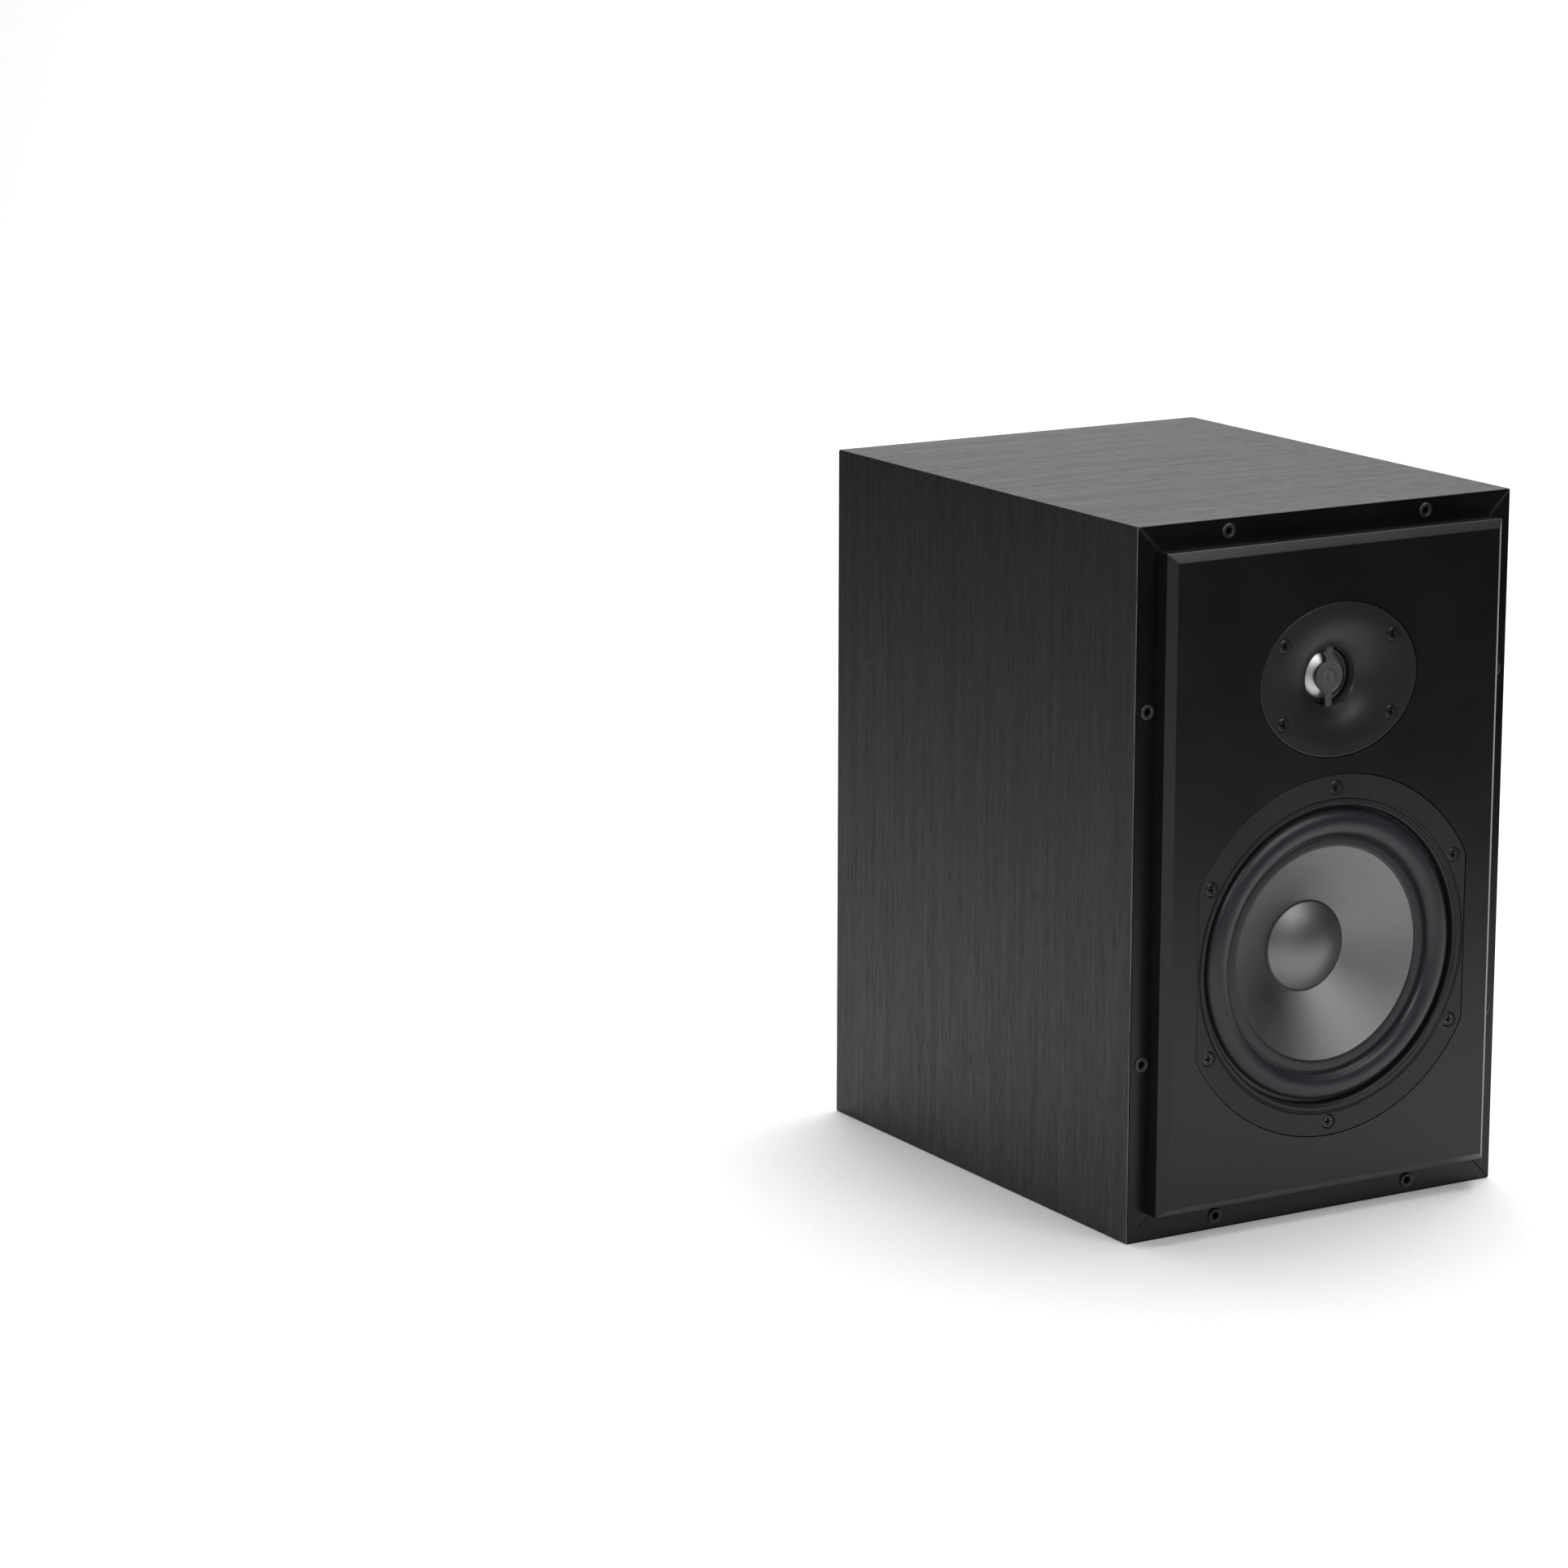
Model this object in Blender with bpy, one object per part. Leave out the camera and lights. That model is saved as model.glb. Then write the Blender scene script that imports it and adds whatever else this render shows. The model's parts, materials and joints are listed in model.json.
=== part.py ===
"""Two-way bookshelf loudspeaker, built piece by piece.

Metres, +Z up. The front faces -Y. The origin is the middle of the footprint, on the ground.
Depths of the drive units are measured inwards from the front face of the baffle, and depths
of the rear fittings inwards from the outer face of the back panel.
"""

import math

import bmesh
import bpy
from mathutils import Vector

MM = 0.001

# Cabinet
HEIGHT = 430 * MM
WIDTH = 270 * MM
CARCASS_DEPTH = 330 * MM
WALL = 18 * MM
GAP = 0.3 * MM

# Front baffle: a raised, bevelled slab with a plug behind it that fits between the walls
RAISE = 15 * MM
FACE_BEVEL = 5 * MM
SIDE_LAND = 13.7 * MM
TOP_LAND = 15.5 * MM
BOTTOM_LAND = 17.0 * MM
PLUG_DEPTH = 12 * MM
REAR_PROUD = 3 * MM

FACE_Y = -(RAISE + CARCASS_DEPTH + REAR_PROUD) / 2
FRONT_EDGE_Y = FACE_Y + RAISE
BACK_Y = FRONT_EDGE_Y + CARCASS_DEPTH
BAFFLE_DEPTH = RAISE + PLUG_DEPTH

# Drive units
WOOFER_Z = 162 * MM
TWEETER_Z = 329.7 * MM
WOOFER_FRAME_R = 110.6 * MM
WOOFER_FLAT_X = 97.7 * MM
WOOFER_HOLE_R = 94 * MM
WOOFER_SCREW_R = 102.5 * MM
FLANGE_THICKNESS = 4.2 * MM
TWEETER_PLATE_X = 57.0 * MM
TWEETER_PLATE_Z = 46.6 * MM
TWEETER_SCREW_X = 39.2 * MM
TWEETER_SCREW_Z = 23.4 * MM
TWEETER_BODY_R = 36 * MM
PLATE_THICKNESS = 4 * MM
RECESS_CLEARANCE = 0.4 * MM

# Grille sockets in the front edges of the walls
SOCKET_X = 71.4 * MM
SOCKET_SIDE_X = 126.5 * MM
SOCKET_TOP_Z = 422.2 * MM
SOCKET_BOTTOM_Z = 8.2 * MM
SOCKET_SIDE_DZ = 105.8 * MM
SOCKET_FLANGE_R = 4.8 * MM
SOCKET_BARREL_R = 3.5 * MM
SOCKET_BORE_R = 2.2 * MM
SOCKET_DEPTH = 10 * MM

# Rear fittings
PORT_Z = 330 * MM
PORT_HOLE_R = 42 * MM
PORT_LENGTH = 122 * MM
CUP_Z = 112 * MM
CUP_HALF_X = 46.5 * MM
CUP_HALF_Z = 29.5 * MM
CUP_FLANGE = 9.5 * MM
CUP_FLOOR = 20 * MM
POST_X = 11 * MM
CUP_SCREW_X = 51 * MM

# Inside
BRACE_Z = 262 * MM
BRACE_THICKNESS = 16 * MM
BOARD_Y = 70 * MM
BOARD_HALF_X = 76 * MM
BOARD_HALF_Y = 46 * MM
BOARD_THICKNESS = 1.8 * MM

ROUND = 36
INNER_ROUND = 24
SMALL_ROUND = 10


# ---------------------------------------------------------------- materials

def finish(name, colour, roughness, metallic=0.0):
    """A Principled material with a colour, a roughness and a metallic value."""
    material = bpy.data.materials.new(name)
    material.use_nodes = True
    shader = material.node_tree.nodes["Principled BSDF"]
    shader.inputs["Base Color"].default_value = (*colour, 1.0)
    shader.inputs["Roughness"].default_value = roughness
    shader.inputs["Metallic"].default_value = metallic
    return material


def make_finishes():
    return {
        "black_vinyl": finish("black_vinyl", (0.028, 0.028, 0.031), 0.45),
        "black_paint": finish("black_paint", (0.022, 0.022, 0.024), 0.42),
        "bare_board": finish("bare_board", (0.36, 0.25, 0.15), 0.85),
        "socket_plastic": finish("socket_plastic", (0.030, 0.030, 0.033), 0.35),
        "frame_black": finish("frame_black", (0.040, 0.040, 0.043), 0.45),
        "rubber_black": finish("rubber_black", (0.022, 0.023, 0.026), 0.55),
        "cone_metal": finish("cone_metal", (0.55, 0.56, 0.56), 0.32, 1.0),
        "cap_metal": finish("cap_metal", (0.52, 0.54, 0.55), 0.25, 1.0),
        "coil_copper": finish("coil_copper", (0.72, 0.40, 0.24), 0.35, 1.0),
        "spider_cloth": finish("spider_cloth", (0.70, 0.50, 0.22), 0.90),
        "zinc_steel": finish("zinc_steel", (0.62, 0.62, 0.60), 0.40, 1.0),
        "ferrite": finish("ferrite", (0.055, 0.055, 0.058), 0.70),
        "screw_black": finish("screw_black", (0.020, 0.020, 0.022), 0.38, 0.6),
        "plate_black": finish("plate_black", (0.045, 0.045, 0.048), 0.38),
        "dome_metal": finish("dome_metal", (0.82, 0.83, 0.82), 0.18, 1.0),
        "post_metal": finish("post_metal", (0.78, 0.60, 0.28), 0.28, 1.0),
        "post_red": finish("post_red", (0.55, 0.02, 0.02), 0.30),
        "post_black": finish("post_black", (0.020, 0.020, 0.020), 0.30),
        "moulded_black": finish("moulded_black", (0.030, 0.030, 0.032), 0.50),
        "board_green": finish("board_green", (0.05, 0.20, 0.10), 0.50),
        "film_yellow": finish("film_yellow", (0.75, 0.52, 0.10), 0.40),
        "cable_grey": finish("cable_grey", (0.30, 0.30, 0.31), 0.50),
        "felt_grey": finish("felt_grey", (0.16, 0.16, 0.17), 0.95),
    }


# ---------------------------------------------------------------- building blocks

def clear_scene():
    for item in list(bpy.data.objects):
        bpy.data.objects.remove(item)


def make_object(name, shape, material, smooth=False):
    """Turn a bmesh into a named object with its faces pointing out."""
    bmesh.ops.recalc_face_normals(shape, faces=shape.faces)
    mesh = bpy.data.meshes.new(name)
    shape.to_mesh(mesh)
    shape.free()
    if smooth:
        mesh.shade_smooth()
        mesh.set_sharp_from_angle(angle=math.radians(35))
    item = bpy.data.objects.new(name, mesh)
    if material:
        mesh.materials.append(material)
    bpy.context.scene.collection.objects.link(item)
    return item


def axis_empty(name, location, facing_front):
    """An empty whose local Z points out of the front, or out of the back."""
    empty = bpy.data.objects.new(name, None)
    empty.location = location
    empty.rotation_euler = (math.radians(90 if facing_front else -90), 0, 0)
    bpy.context.scene.collection.objects.link(empty)
    return empty


def box_shape(low, high):
    """A box between two opposite corners."""
    shape = bmesh.new()
    bmesh.ops.create_cube(shape, size=1.0)
    size = Vector(high) - Vector(low)
    bmesh.ops.scale(shape, vec=size, verts=shape.verts)
    bmesh.ops.translate(shape, vec=(Vector(low) + Vector(high)) / 2, verts=shape.verts)
    return shape


def box(name, low, high, material):
    return make_object(name, box_shape(low, high), material)


def prism(name, outline, start_y, end_y, material):
    """Extrude an outline in X and Z along Y."""
    shape = bmesh.new()
    corners = [shape.verts.new((x, start_y, z)) for x, z in outline]
    face = shape.faces.new(corners)
    swept = bmesh.ops.extrude_face_region(shape, geom=[face])["geom"]
    moved = [part for part in swept if isinstance(part, bmesh.types.BMVert)]
    bmesh.ops.translate(shape, vec=(0, end_y - start_y, 0), verts=moved)
    return make_object(name, shape, material)


def turned(name, profile, material, segments=INNER_ROUND):
    """Turn a profile of (radius, depth) points about local Z. Ends on the axis stay open."""
    shape = bmesh.new()
    corners = [shape.verts.new((radius, 0, -depth)) for radius, depth in profile]
    pairs = list(zip(corners, corners[1:]))
    if profile[0][0] > 0:
        pairs.append((corners[-1], corners[0]))
    edges = [shape.edges.new(pair) for pair in pairs]
    bmesh.ops.spin(
        shape,
        geom=corners + edges,
        cent=(0, 0, 0),
        axis=(0, 0, 1),
        angle=math.tau,
        steps=segments,
        use_merge=True,
    )
    bmesh.ops.remove_doubles(shape, verts=shape.verts, dist=1e-6)
    return make_object(name, shape, material, smooth=True)


def lofted(name, rings, material, capped=True, smooth=False):
    """Skin rings of equally many points. Uncapped rings close back on the first ring."""
    shape = bmesh.new()
    loops = [[shape.verts.new(point) for point in ring] for ring in rings]
    count = len(loops[0])
    pairs = list(zip(loops, loops[1:]))
    if not capped:
        pairs.append((loops[-1], loops[0]))
    for first, second in pairs:
        for i in range(count):
            j = (i + 1) % count
            shape.faces.new((first[i], first[j], second[j], second[i]))
    if capped:
        shape.faces.new(loops[0])
        shape.faces.new(loops[-1])
    return make_object(name, shape, material, smooth)


def rectangle_ring(half_x, half_z, depth):
    """A rectangle in local X and Y, at a depth behind local zero."""
    return [
        (half_x, half_z, -depth),
        (-half_x, half_z, -depth),
        (-half_x, -half_z, -depth),
        (half_x, -half_z, -depth),
    ]


def rounded_ring(half_x, half_z, radius, depth, steps=3):
    """A rectangle with round corners in local X and Y, at a depth behind local zero."""
    points = []
    corners = [(1, 1, 0), (-1, 1, 90), (-1, -1, 180), (1, -1, 270)]
    for side_x, side_z, start in corners:
        for step in range(steps + 1):
            angle = math.radians(start + 90 * step / steps)
            x = side_x * (half_x - radius) + radius * math.cos(angle)
            z = side_z * (half_z - radius) + radius * math.sin(angle)
            points.append((x, z, -depth))
    return points


def ellipse_ring(radius_x, radius_z, depth, segments=ROUND):
    """An ellipse in local X and Y, at a depth behind local zero."""
    points = []
    for step in range(segments):
        angle = math.tau * step / segments
        points.append((radius_x * math.cos(angle), radius_z * math.sin(angle), -depth))
    return points


def join_shapes(name, shapes, material=None):
    """Put several separate bmesh bodies in one object, for use as a cutter."""
    whole = bmesh.new()
    for shape in shapes:
        part = bpy.data.meshes.new(name)
        bmesh.ops.recalc_face_normals(shape, faces=shape.faces)
        shape.to_mesh(part)
        shape.free()
        whole.from_mesh(part)
        bpy.data.meshes.remove(part)
    return make_object(name, whole, material)


def attach(item, parent):
    item.parent = parent
    return item


def cut(target, cutter, operation="DIFFERENCE"):
    """Cut one object with another, which stays in the scene as a hidden guide."""
    cutter.hide_render = True
    cutter.display_type = "WIRE"
    modifier = target.modifiers.new(cutter.name, "BOOLEAN")
    modifier.operation = operation
    modifier.object = cutter


def cylinder_shape(radius, low_z, high_z, centre=(0, 0), segments=16):
    """A closed cylinder along local Z."""
    shape = bmesh.new()
    bmesh.ops.create_cone(
        shape,
        cap_ends=True,
        segments=segments,
        radius1=radius,
        radius2=radius,
        depth=high_z - low_z,
    )
    centre_point = (centre[0], centre[1], (low_z + high_z) / 2)
    bmesh.ops.translate(shape, vec=centre_point, verts=shape.verts)
    return shape


# ---------------------------------------------------------------- cabinet

def socket_places():
    """Name, X and Z of each grille socket."""
    middle = HEIGHT / 2
    return [
        ("top_left", -SOCKET_X, SOCKET_TOP_Z),
        ("top_right", SOCKET_X, SOCKET_TOP_Z),
        ("bottom_left", -SOCKET_X, SOCKET_BOTTOM_Z),
        ("bottom_right", SOCKET_X, SOCKET_BOTTOM_Z),
        ("upper_left", -SOCKET_SIDE_X, middle + SOCKET_SIDE_DZ),
        ("upper_right", SOCKET_SIDE_X, middle + SOCKET_SIDE_DZ),
        ("lower_left", -SOCKET_SIDE_X, middle - SOCKET_SIDE_DZ),
        ("lower_right", SOCKET_SIDE_X, middle - SOCKET_SIDE_DZ),
    ]


def wall_outline(side):
    """The mitred end view of one wall, as X and Z points."""
    slack = GAP / math.sqrt(2)
    half = WIDTH / 2
    inner = half - WALL
    if side in ("left", "right"):
        sign = -1 if side == "left" else 1
        return [
            (sign * half, slack),
            (sign * half, HEIGHT - slack),
            (sign * inner, HEIGHT - WALL - slack),
            (sign * inner, WALL + slack),
        ]
    outer_z = HEIGHT if side == "top" else 0
    inner_z = HEIGHT - WALL if side == "top" else WALL
    return [
        (-half + slack, outer_z),
        (half - slack, outer_z),
        (inner - slack, inner_z),
        (-inner + slack, inner_z),
    ]


def make_walls(looks):
    """Four mitred walls, each bored for the grille sockets in its front edge."""
    radius = SOCKET_BARREL_R + GAP
    bores = {"left": [], "right": [], "top": [], "bottom": []}
    for place, x, z in socket_places():
        row, column = place.split("_")
        wall = row if row in bores else column
        bores[wall].append((x, z))
    for side, places in bores.items():
        wall = prism(f"{side}_panel", wall_outline(side), FRONT_EDGE_Y, BACK_Y, looks["black_vinyl"])
        shapes = []
        for x, z in places:
            shapes.append(cylinder_shape(radius, -SOCKET_DEPTH - MM, 2 * MM, (x, z)))
        cutter = join_shapes(f"{side}_socket_bores", shapes)
        attach(cutter, axis_empty(f"{side}_edge_axis", (0, FRONT_EDGE_Y, 0), True))
        cut(wall, cutter)


def make_sockets(looks):
    """Round push-in sockets for the grille pegs, one cup each."""
    front = GAP + 1.1 * MM
    profile = [
        (0, SOCKET_DEPTH - 1.5 * MM),
        (SOCKET_BORE_R, SOCKET_DEPTH - 1.5 * MM),
        (SOCKET_BORE_R, -front),
        (SOCKET_FLANGE_R - 0.5 * MM, -front),
        (SOCKET_FLANGE_R, -front + 0.5 * MM),
        (SOCKET_FLANGE_R, -GAP),
        (SOCKET_BARREL_R, -GAP),
        (SOCKET_BARREL_R, SOCKET_DEPTH),
        (0, SOCKET_DEPTH),
    ]
    for place, x, z in socket_places():
        axis = axis_empty(f"socket_axis_{place}", (x, FRONT_EDGE_Y, z), True)
        socket = turned(f"grille_socket_{place}", profile, looks["socket_plastic"], SMALL_ROUND)
        attach(socket, axis)


def make_back_panel(looks, cup_bores):
    """The back board, between the walls, with the port hole and the terminal cut-out."""
    half = WIDTH / 2 - WALL - GAP
    low = (-half, BACK_Y - WALL, WALL + GAP)
    high = (half, BACK_Y, HEIGHT - WALL - GAP)
    panel = box("back_panel", low, high, looks["black_vinyl"])
    port_hole = make_object("port_hole", cylinder_shape(PORT_HOLE_R, -2 * WALL, WALL, segments=ROUND), None)
    attach(port_hole, axis_empty("port_hole_axis", (0, BACK_Y, PORT_Z), False))
    cup_low = (-CUP_HALF_X - GAP, BACK_Y - 2 * WALL, CUP_Z - CUP_HALF_Z - GAP)
    cup_high = (CUP_HALF_X + GAP, BACK_Y + WALL, CUP_Z + CUP_HALF_Z + GAP)
    cut(panel, port_hole)
    cut(panel, box("cup_hole", cup_low, cup_high, None))
    cut(panel, cup_bores)


def make_brace(looks):
    """A shelf brace between the drive units, with two large windows."""
    half = WIDTH / 2 - WALL - GAP
    front_y = FRONT_EDGE_Y + PLUG_DEPTH + GAP
    rear_y = BACK_Y - WALL - GAP
    low = (-half, front_y, BRACE_Z)
    high = (half, rear_y, BRACE_Z + BRACE_THICKNESS)
    brace = box("window_brace", low, high, looks["bare_board"])
    rim = 28 * MM
    rib = 12 * MM
    windows = []
    for sign in (-1, 1):
        near, far = sorted((sign * rib, sign * (half - rim)))
        window_low = (near, front_y + rim, BRACE_Z - WALL)
        window_high = (far, rear_y - rim, BRACE_Z + 2 * WALL)
        windows.append(box_shape(window_low, window_high))
    cut(brace, join_shapes("brace_windows", windows))


def make_damping(looks):
    """A felt lining glued over the sides and roof of the upper chamber, in one bent sheet."""
    thick = 9 * MM
    half = WIDTH / 2 - WALL - GAP
    foot = BRACE_Z + BRACE_THICKNESS + GAP
    roof = HEIGHT - WALL - GAP
    outline = [
        (-half, foot),
        (-half, roof),
        (half, roof),
        (half, foot),
        (half - thick, foot),
        (half - thick, roof - thick),
        (thick - half, roof - thick),
        (thick - half, foot),
    ]
    start_y = FRONT_EDGE_Y + 30 * MM
    end_y = BACK_Y - WALL - GAP
    prism("damping_lining", outline, start_y, end_y, looks["felt_grey"])


# ---------------------------------------------------------------- front baffle

def woofer_outline(extra):
    """The flange outline: a circle with a flat on each side, grown by a clearance."""
    radius = WOOFER_FRAME_R + extra
    corner = math.acos((WOOFER_FLAT_X + extra) / radius)
    points = []
    steps = ROUND // 2
    for start in (corner, math.pi + corner):
        for step in range(steps + 1):
            angle = start + (math.pi - 2 * corner) * step / steps
            points.append((radius * math.cos(angle), radius * math.sin(angle)))
    return points


def woofer_screw_places():
    places = []
    for step in range(6):
        angle = math.radians(90 - 60 * step)
        places.append((WOOFER_SCREW_R * math.cos(angle), WOOFER_SCREW_R * math.sin(angle)))
    return places


def tweeter_screw_places():
    places = []
    for side_x, side_z in ((-1, 1), (1, 1), (1, -1), (-1, -1)):
        places.append((side_x * TWEETER_SCREW_X, side_z * TWEETER_SCREW_Z))
    return places


def screw_bore_shape(centre, surface=0.0):
    """A countersunk blind hole, a little larger than the screw, from a surface at some depth."""
    mouth = surface - MM
    rim = surface + 0.3 * MM
    neck = surface + 3.1 * MM
    foot = surface + 22 * MM
    wide = 5.0 * MM
    narrow = 2.3 * MM
    shape = bmesh.new()
    rings = []
    for radius, depth in ((wide, mouth), (wide, rim), (narrow, neck), (narrow, foot)):
        ring = ellipse_ring(radius, radius, depth, SMALL_ROUND)
        moved = [(x + centre[0], z + centre[1], y) for x, z, y in ring]
        rings.append([shape.verts.new(point) for point in moved])
    for first, second in zip(rings, rings[1:]):
        for i in range(SMALL_ROUND):
            j = (i + 1) % SMALL_ROUND
            shape.faces.new((first[i], first[j], second[j], second[i]))
    shape.faces.new(rings[0])
    shape.faces.new(rings[-1])
    return shape


def make_baffle(looks, woofer_axis, tweeter_axis):
    """The raised slab and its plug, recessed and bored for both drive units."""
    half_x = WIDTH / 2 - SIDE_LAND
    slab_z = (HEIGHT - TOP_LAND - BOTTOM_LAND) / 2
    middle_z = BOTTOM_LAND + slab_z
    plug_x = WIDTH / 2 - WALL - GAP
    plug_z = HEIGHT / 2 - WALL - GAP
    rise = HEIGHT / 2 - middle_z
    rings = [
        rectangle_ring(half_x - FACE_BEVEL, slab_z - FACE_BEVEL, 0),
        rectangle_ring(half_x, slab_z, FACE_BEVEL),
        rectangle_ring(half_x, slab_z, RAISE - GAP),
        [(x, z + rise, y) for x, z, y in rectangle_ring(plug_x, plug_z, RAISE - GAP)],
        [(x, z + rise, y) for x, z, y in rectangle_ring(plug_x, plug_z, BAFFLE_DEPTH)],
    ]
    baffle = lofted("front_baffle", rings, looks["black_paint"])
    attach(baffle, axis_empty("baffle_axis", (0, FACE_Y, middle_z), True))

    recess_depth = FLANGE_THICKNESS + GAP
    outline = [(x, z + WOOFER_Z) for x, z in woofer_outline(RECESS_CLEARANCE)]
    recess = prism("woofer_recess", outline, FACE_Y - MM, FACE_Y + recess_depth, None)
    hole = cylinder_shape(WOOFER_HOLE_R, -2 * BAFFLE_DEPTH, BAFFLE_DEPTH, segments=ROUND)
    hole = attach(make_object("woofer_hole", hole, None), woofer_axis)
    bores = [screw_bore_shape(centre) for centre in woofer_screw_places()]
    woofer_bores = attach(join_shapes("woofer_bores", bores), woofer_axis)

    plate_x = TWEETER_PLATE_X + RECESS_CLEARANCE
    plate_z = TWEETER_PLATE_Z + RECESS_CLEARANCE
    plate_rings = [
        ellipse_ring(plate_x, plate_z, -MM),
        ellipse_ring(plate_x, plate_z, PLATE_THICKNESS + GAP),
    ]
    plate_recess = attach(lofted("tweeter_recess", plate_rings, None), tweeter_axis)
    body_r = TWEETER_BODY_R + 0.6 * MM
    body_hole = cylinder_shape(body_r, -2 * BAFFLE_DEPTH, BAFFLE_DEPTH, segments=ROUND)
    body_hole = attach(make_object("tweeter_hole", body_hole, None), tweeter_axis)
    bores = [screw_bore_shape(centre) for centre in tweeter_screw_places()]
    tweeter_bores = attach(join_shapes("tweeter_bores", bores), tweeter_axis)

    for cutter in (recess, hole, woofer_bores, plate_recess, body_hole, tweeter_bores):
        cut(baffle, cutter)
    return woofer_bores, tweeter_bores


# ---------------------------------------------------------------- woofer

def millimetres(points):
    return [(radius * MM, depth * MM) for radius, depth in points]


def make_woofer_frame(looks, axis, bores):
    """The cast frame: flange, pot for the surround, six spokes, spider ledge and motor seat."""
    profile = millimetres([
        (110.0, 0), (97.4, 0), (96.9, 0.6), (92.2, 1.0), (91.2, 2.0), (91.2, 7.6),
        (85.0, 7.6), (68.0, 40.0), (68.0, 43.0), (58.0, 43.0), (46.0, 57.0), (30.0, 57.0),
        (30.0, 59.0), (47.5, 59.0), (60.0, 45.4), (70.0, 45.4), (70.5, 41.0), (87.5, 10.0),
        (93.2, 10.0), (93.2, 4.2), (110.6, 4.2), (110.6, 0.6),
    ])
    frame = attach(turned("woofer_frame", profile, looks["frame_black"], ROUND), axis)
    shapes = []
    for step in range(6):
        window = box_shape((64 * MM, -27 * MM, -37 * MM), (104 * MM, 27 * MM, -14 * MM))
        angle = math.radians(60 * step)
        turn = [
            (math.cos(angle), -math.sin(angle)),
            (math.sin(angle), math.cos(angle)),
        ]
        for corner in window.verts:
            x, y = corner.co.x, corner.co.y
            corner.co.x = turn[0][0] * x + turn[0][1] * y
            corner.co.y = turn[1][0] * x + turn[1][1] * y
        shapes.append(window)
    windows = attach(join_shapes("frame_windows", shapes), axis)
    trims = []
    for sign in (-1, 1):
        near, far = sorted((sign * WOOFER_FLAT_X, sign * (WOOFER_FRAME_R + 5 * MM)))
        trims.append(box_shape((near, -80 * MM, -8 * MM), (far, 80 * MM, 3 * MM)))
    flats = attach(join_shapes("frame_flats", trims), axis)
    for cutter in (windows, flats, bores):
        cut(frame, cutter)


def surround_profile():
    """A half roll between an outer land on the frame and an inner land on the cone."""
    middle = 81.0
    steps = 6
    top = [(90.8, 6.4)]
    bottom = [(90.8, 7.3)]
    for step in range(steps + 1):
        angle = math.pi * step / steps
        top.append((middle + 7.8 * math.cos(angle), 6.2 - 5.8 * math.sin(angle)))
        bottom.append((middle + 6.9 * math.cos(angle), 7.1 - 5.8 * math.sin(angle)))
    top.append((65.4, 5.7))
    bottom.append((65.4, 6.5))
    return millimetres(top + bottom[::-1])


def spider_profile():
    """A corrugated disc from the former out to the frame's ledge."""
    inner = 19.8
    start = 25.0
    end = 57.0
    waves = 3
    steps = 12
    upper = [(inner, 41.4)]
    for step in range(steps + 1):
        radius = start + (end - start) * step / steps
        wave = 1.2 * math.sin(math.tau * waves * step / steps)
        upper.append((radius, 41.4 - wave))
    upper.append((66.5, 41.8))
    lower = [(radius, depth + 0.8) for radius, depth in upper]
    return millimetres(upper + lower[::-1])


def dome_profile(radius, crown_depth, rim_depth, thickness, steps=5):
    """A shallow dome shell that touches the axis, in millimetres."""
    rise = rim_depth - crown_depth
    sphere = (radius * radius + rise * rise) / (2 * rise)
    outer = []
    inner = []
    for step in range(steps + 1):
        r = radius * step / steps
        depth = crown_depth + sphere - math.sqrt(sphere * sphere - r * r)
        outer.append((r, depth))
        inner.append((r, depth + thickness))
    return millimetres(outer + inner[::-1])


def make_woofer(looks, axis, bores):
    """Frame, moving assembly and motor of the large driver."""
    make_woofer_frame(looks, axis, bores)
    attach(turned("woofer_surround", surround_profile(), looks["rubber_black"], ROUND), axis)
    cone = millimetres([(66.2, 6.8), (44.0, 19.5), (19.8, 33.4), (19.8, 34.4), (44.0, 20.5), (66.2, 7.8)])
    attach(turned("woofer_cone", cone, looks["cone_metal"], ROUND), axis)
    cap = dome_profile(27.0, 19.8, 28.2, 0.8)
    attach(turned("woofer_dust_cap", cap, looks["cap_metal"], ROUND), axis)
    coil = millimetres([(18.7, 31), (19.4, 31), (19.4, 55), (20.2, 55), (20.2, 69), (18.7, 69)])
    attach(turned("woofer_voice_coil", coil, looks["coil_copper"]), axis)
    attach(turned("woofer_spider", spider_profile(), looks["spider_cloth"]), axis)
    plate = millimetres([(21, 59.3), (50, 59.3), (50, 66.3), (21, 66.3)])
    attach(turned("woofer_top_plate", plate, looks["zinc_steel"]), axis)
    magnet = millimetres([(28, 66.6), (54, 66.6), (55, 67.6), (55, 84.6), (54, 85.6), (28, 85.6)])
    attach(turned("woofer_magnet", magnet, looks["ferrite"]), axis)
    yoke = millimetres([
        (0, 58.4), (17.4, 58.4), (17.9, 58.9), (17.9, 85.9), (52, 85.9), (52, 92), (50, 94), (0, 94),
    ])
    attach(turned("woofer_yoke", yoke, looks["zinc_steel"]), axis)


# ---------------------------------------------------------------- tweeter

def make_faceplate(looks, axis, bores):
    """The oval faceplate, its horn and the boss behind it, one moulding."""
    rings_mm = [
        (56.2, 45.8, 0), (43, 35, 0), (36, 30, 1.4), (29, 25.5, 4.0), (22.5, 21.6, 7.8),
        (18.0, 18.0, 11.6), (16.6, 16.6, 14.2), (20.5, 20.5, 14.2), (20.5, 20.5, 17.2),
        (36, 36, 17.2), (36, 36, 4.0), (57, 46.6, 4.0), (57, 46.6, 0.8),
    ]
    rings = [ellipse_ring(x * MM, z * MM, depth * MM) for x, z, depth in rings_mm]
    plate = lofted("tweeter_faceplate", rings, looks["plate_black"], capped=False, smooth=True)
    attach(plate, axis)
    cut(plate, bores)


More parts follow.
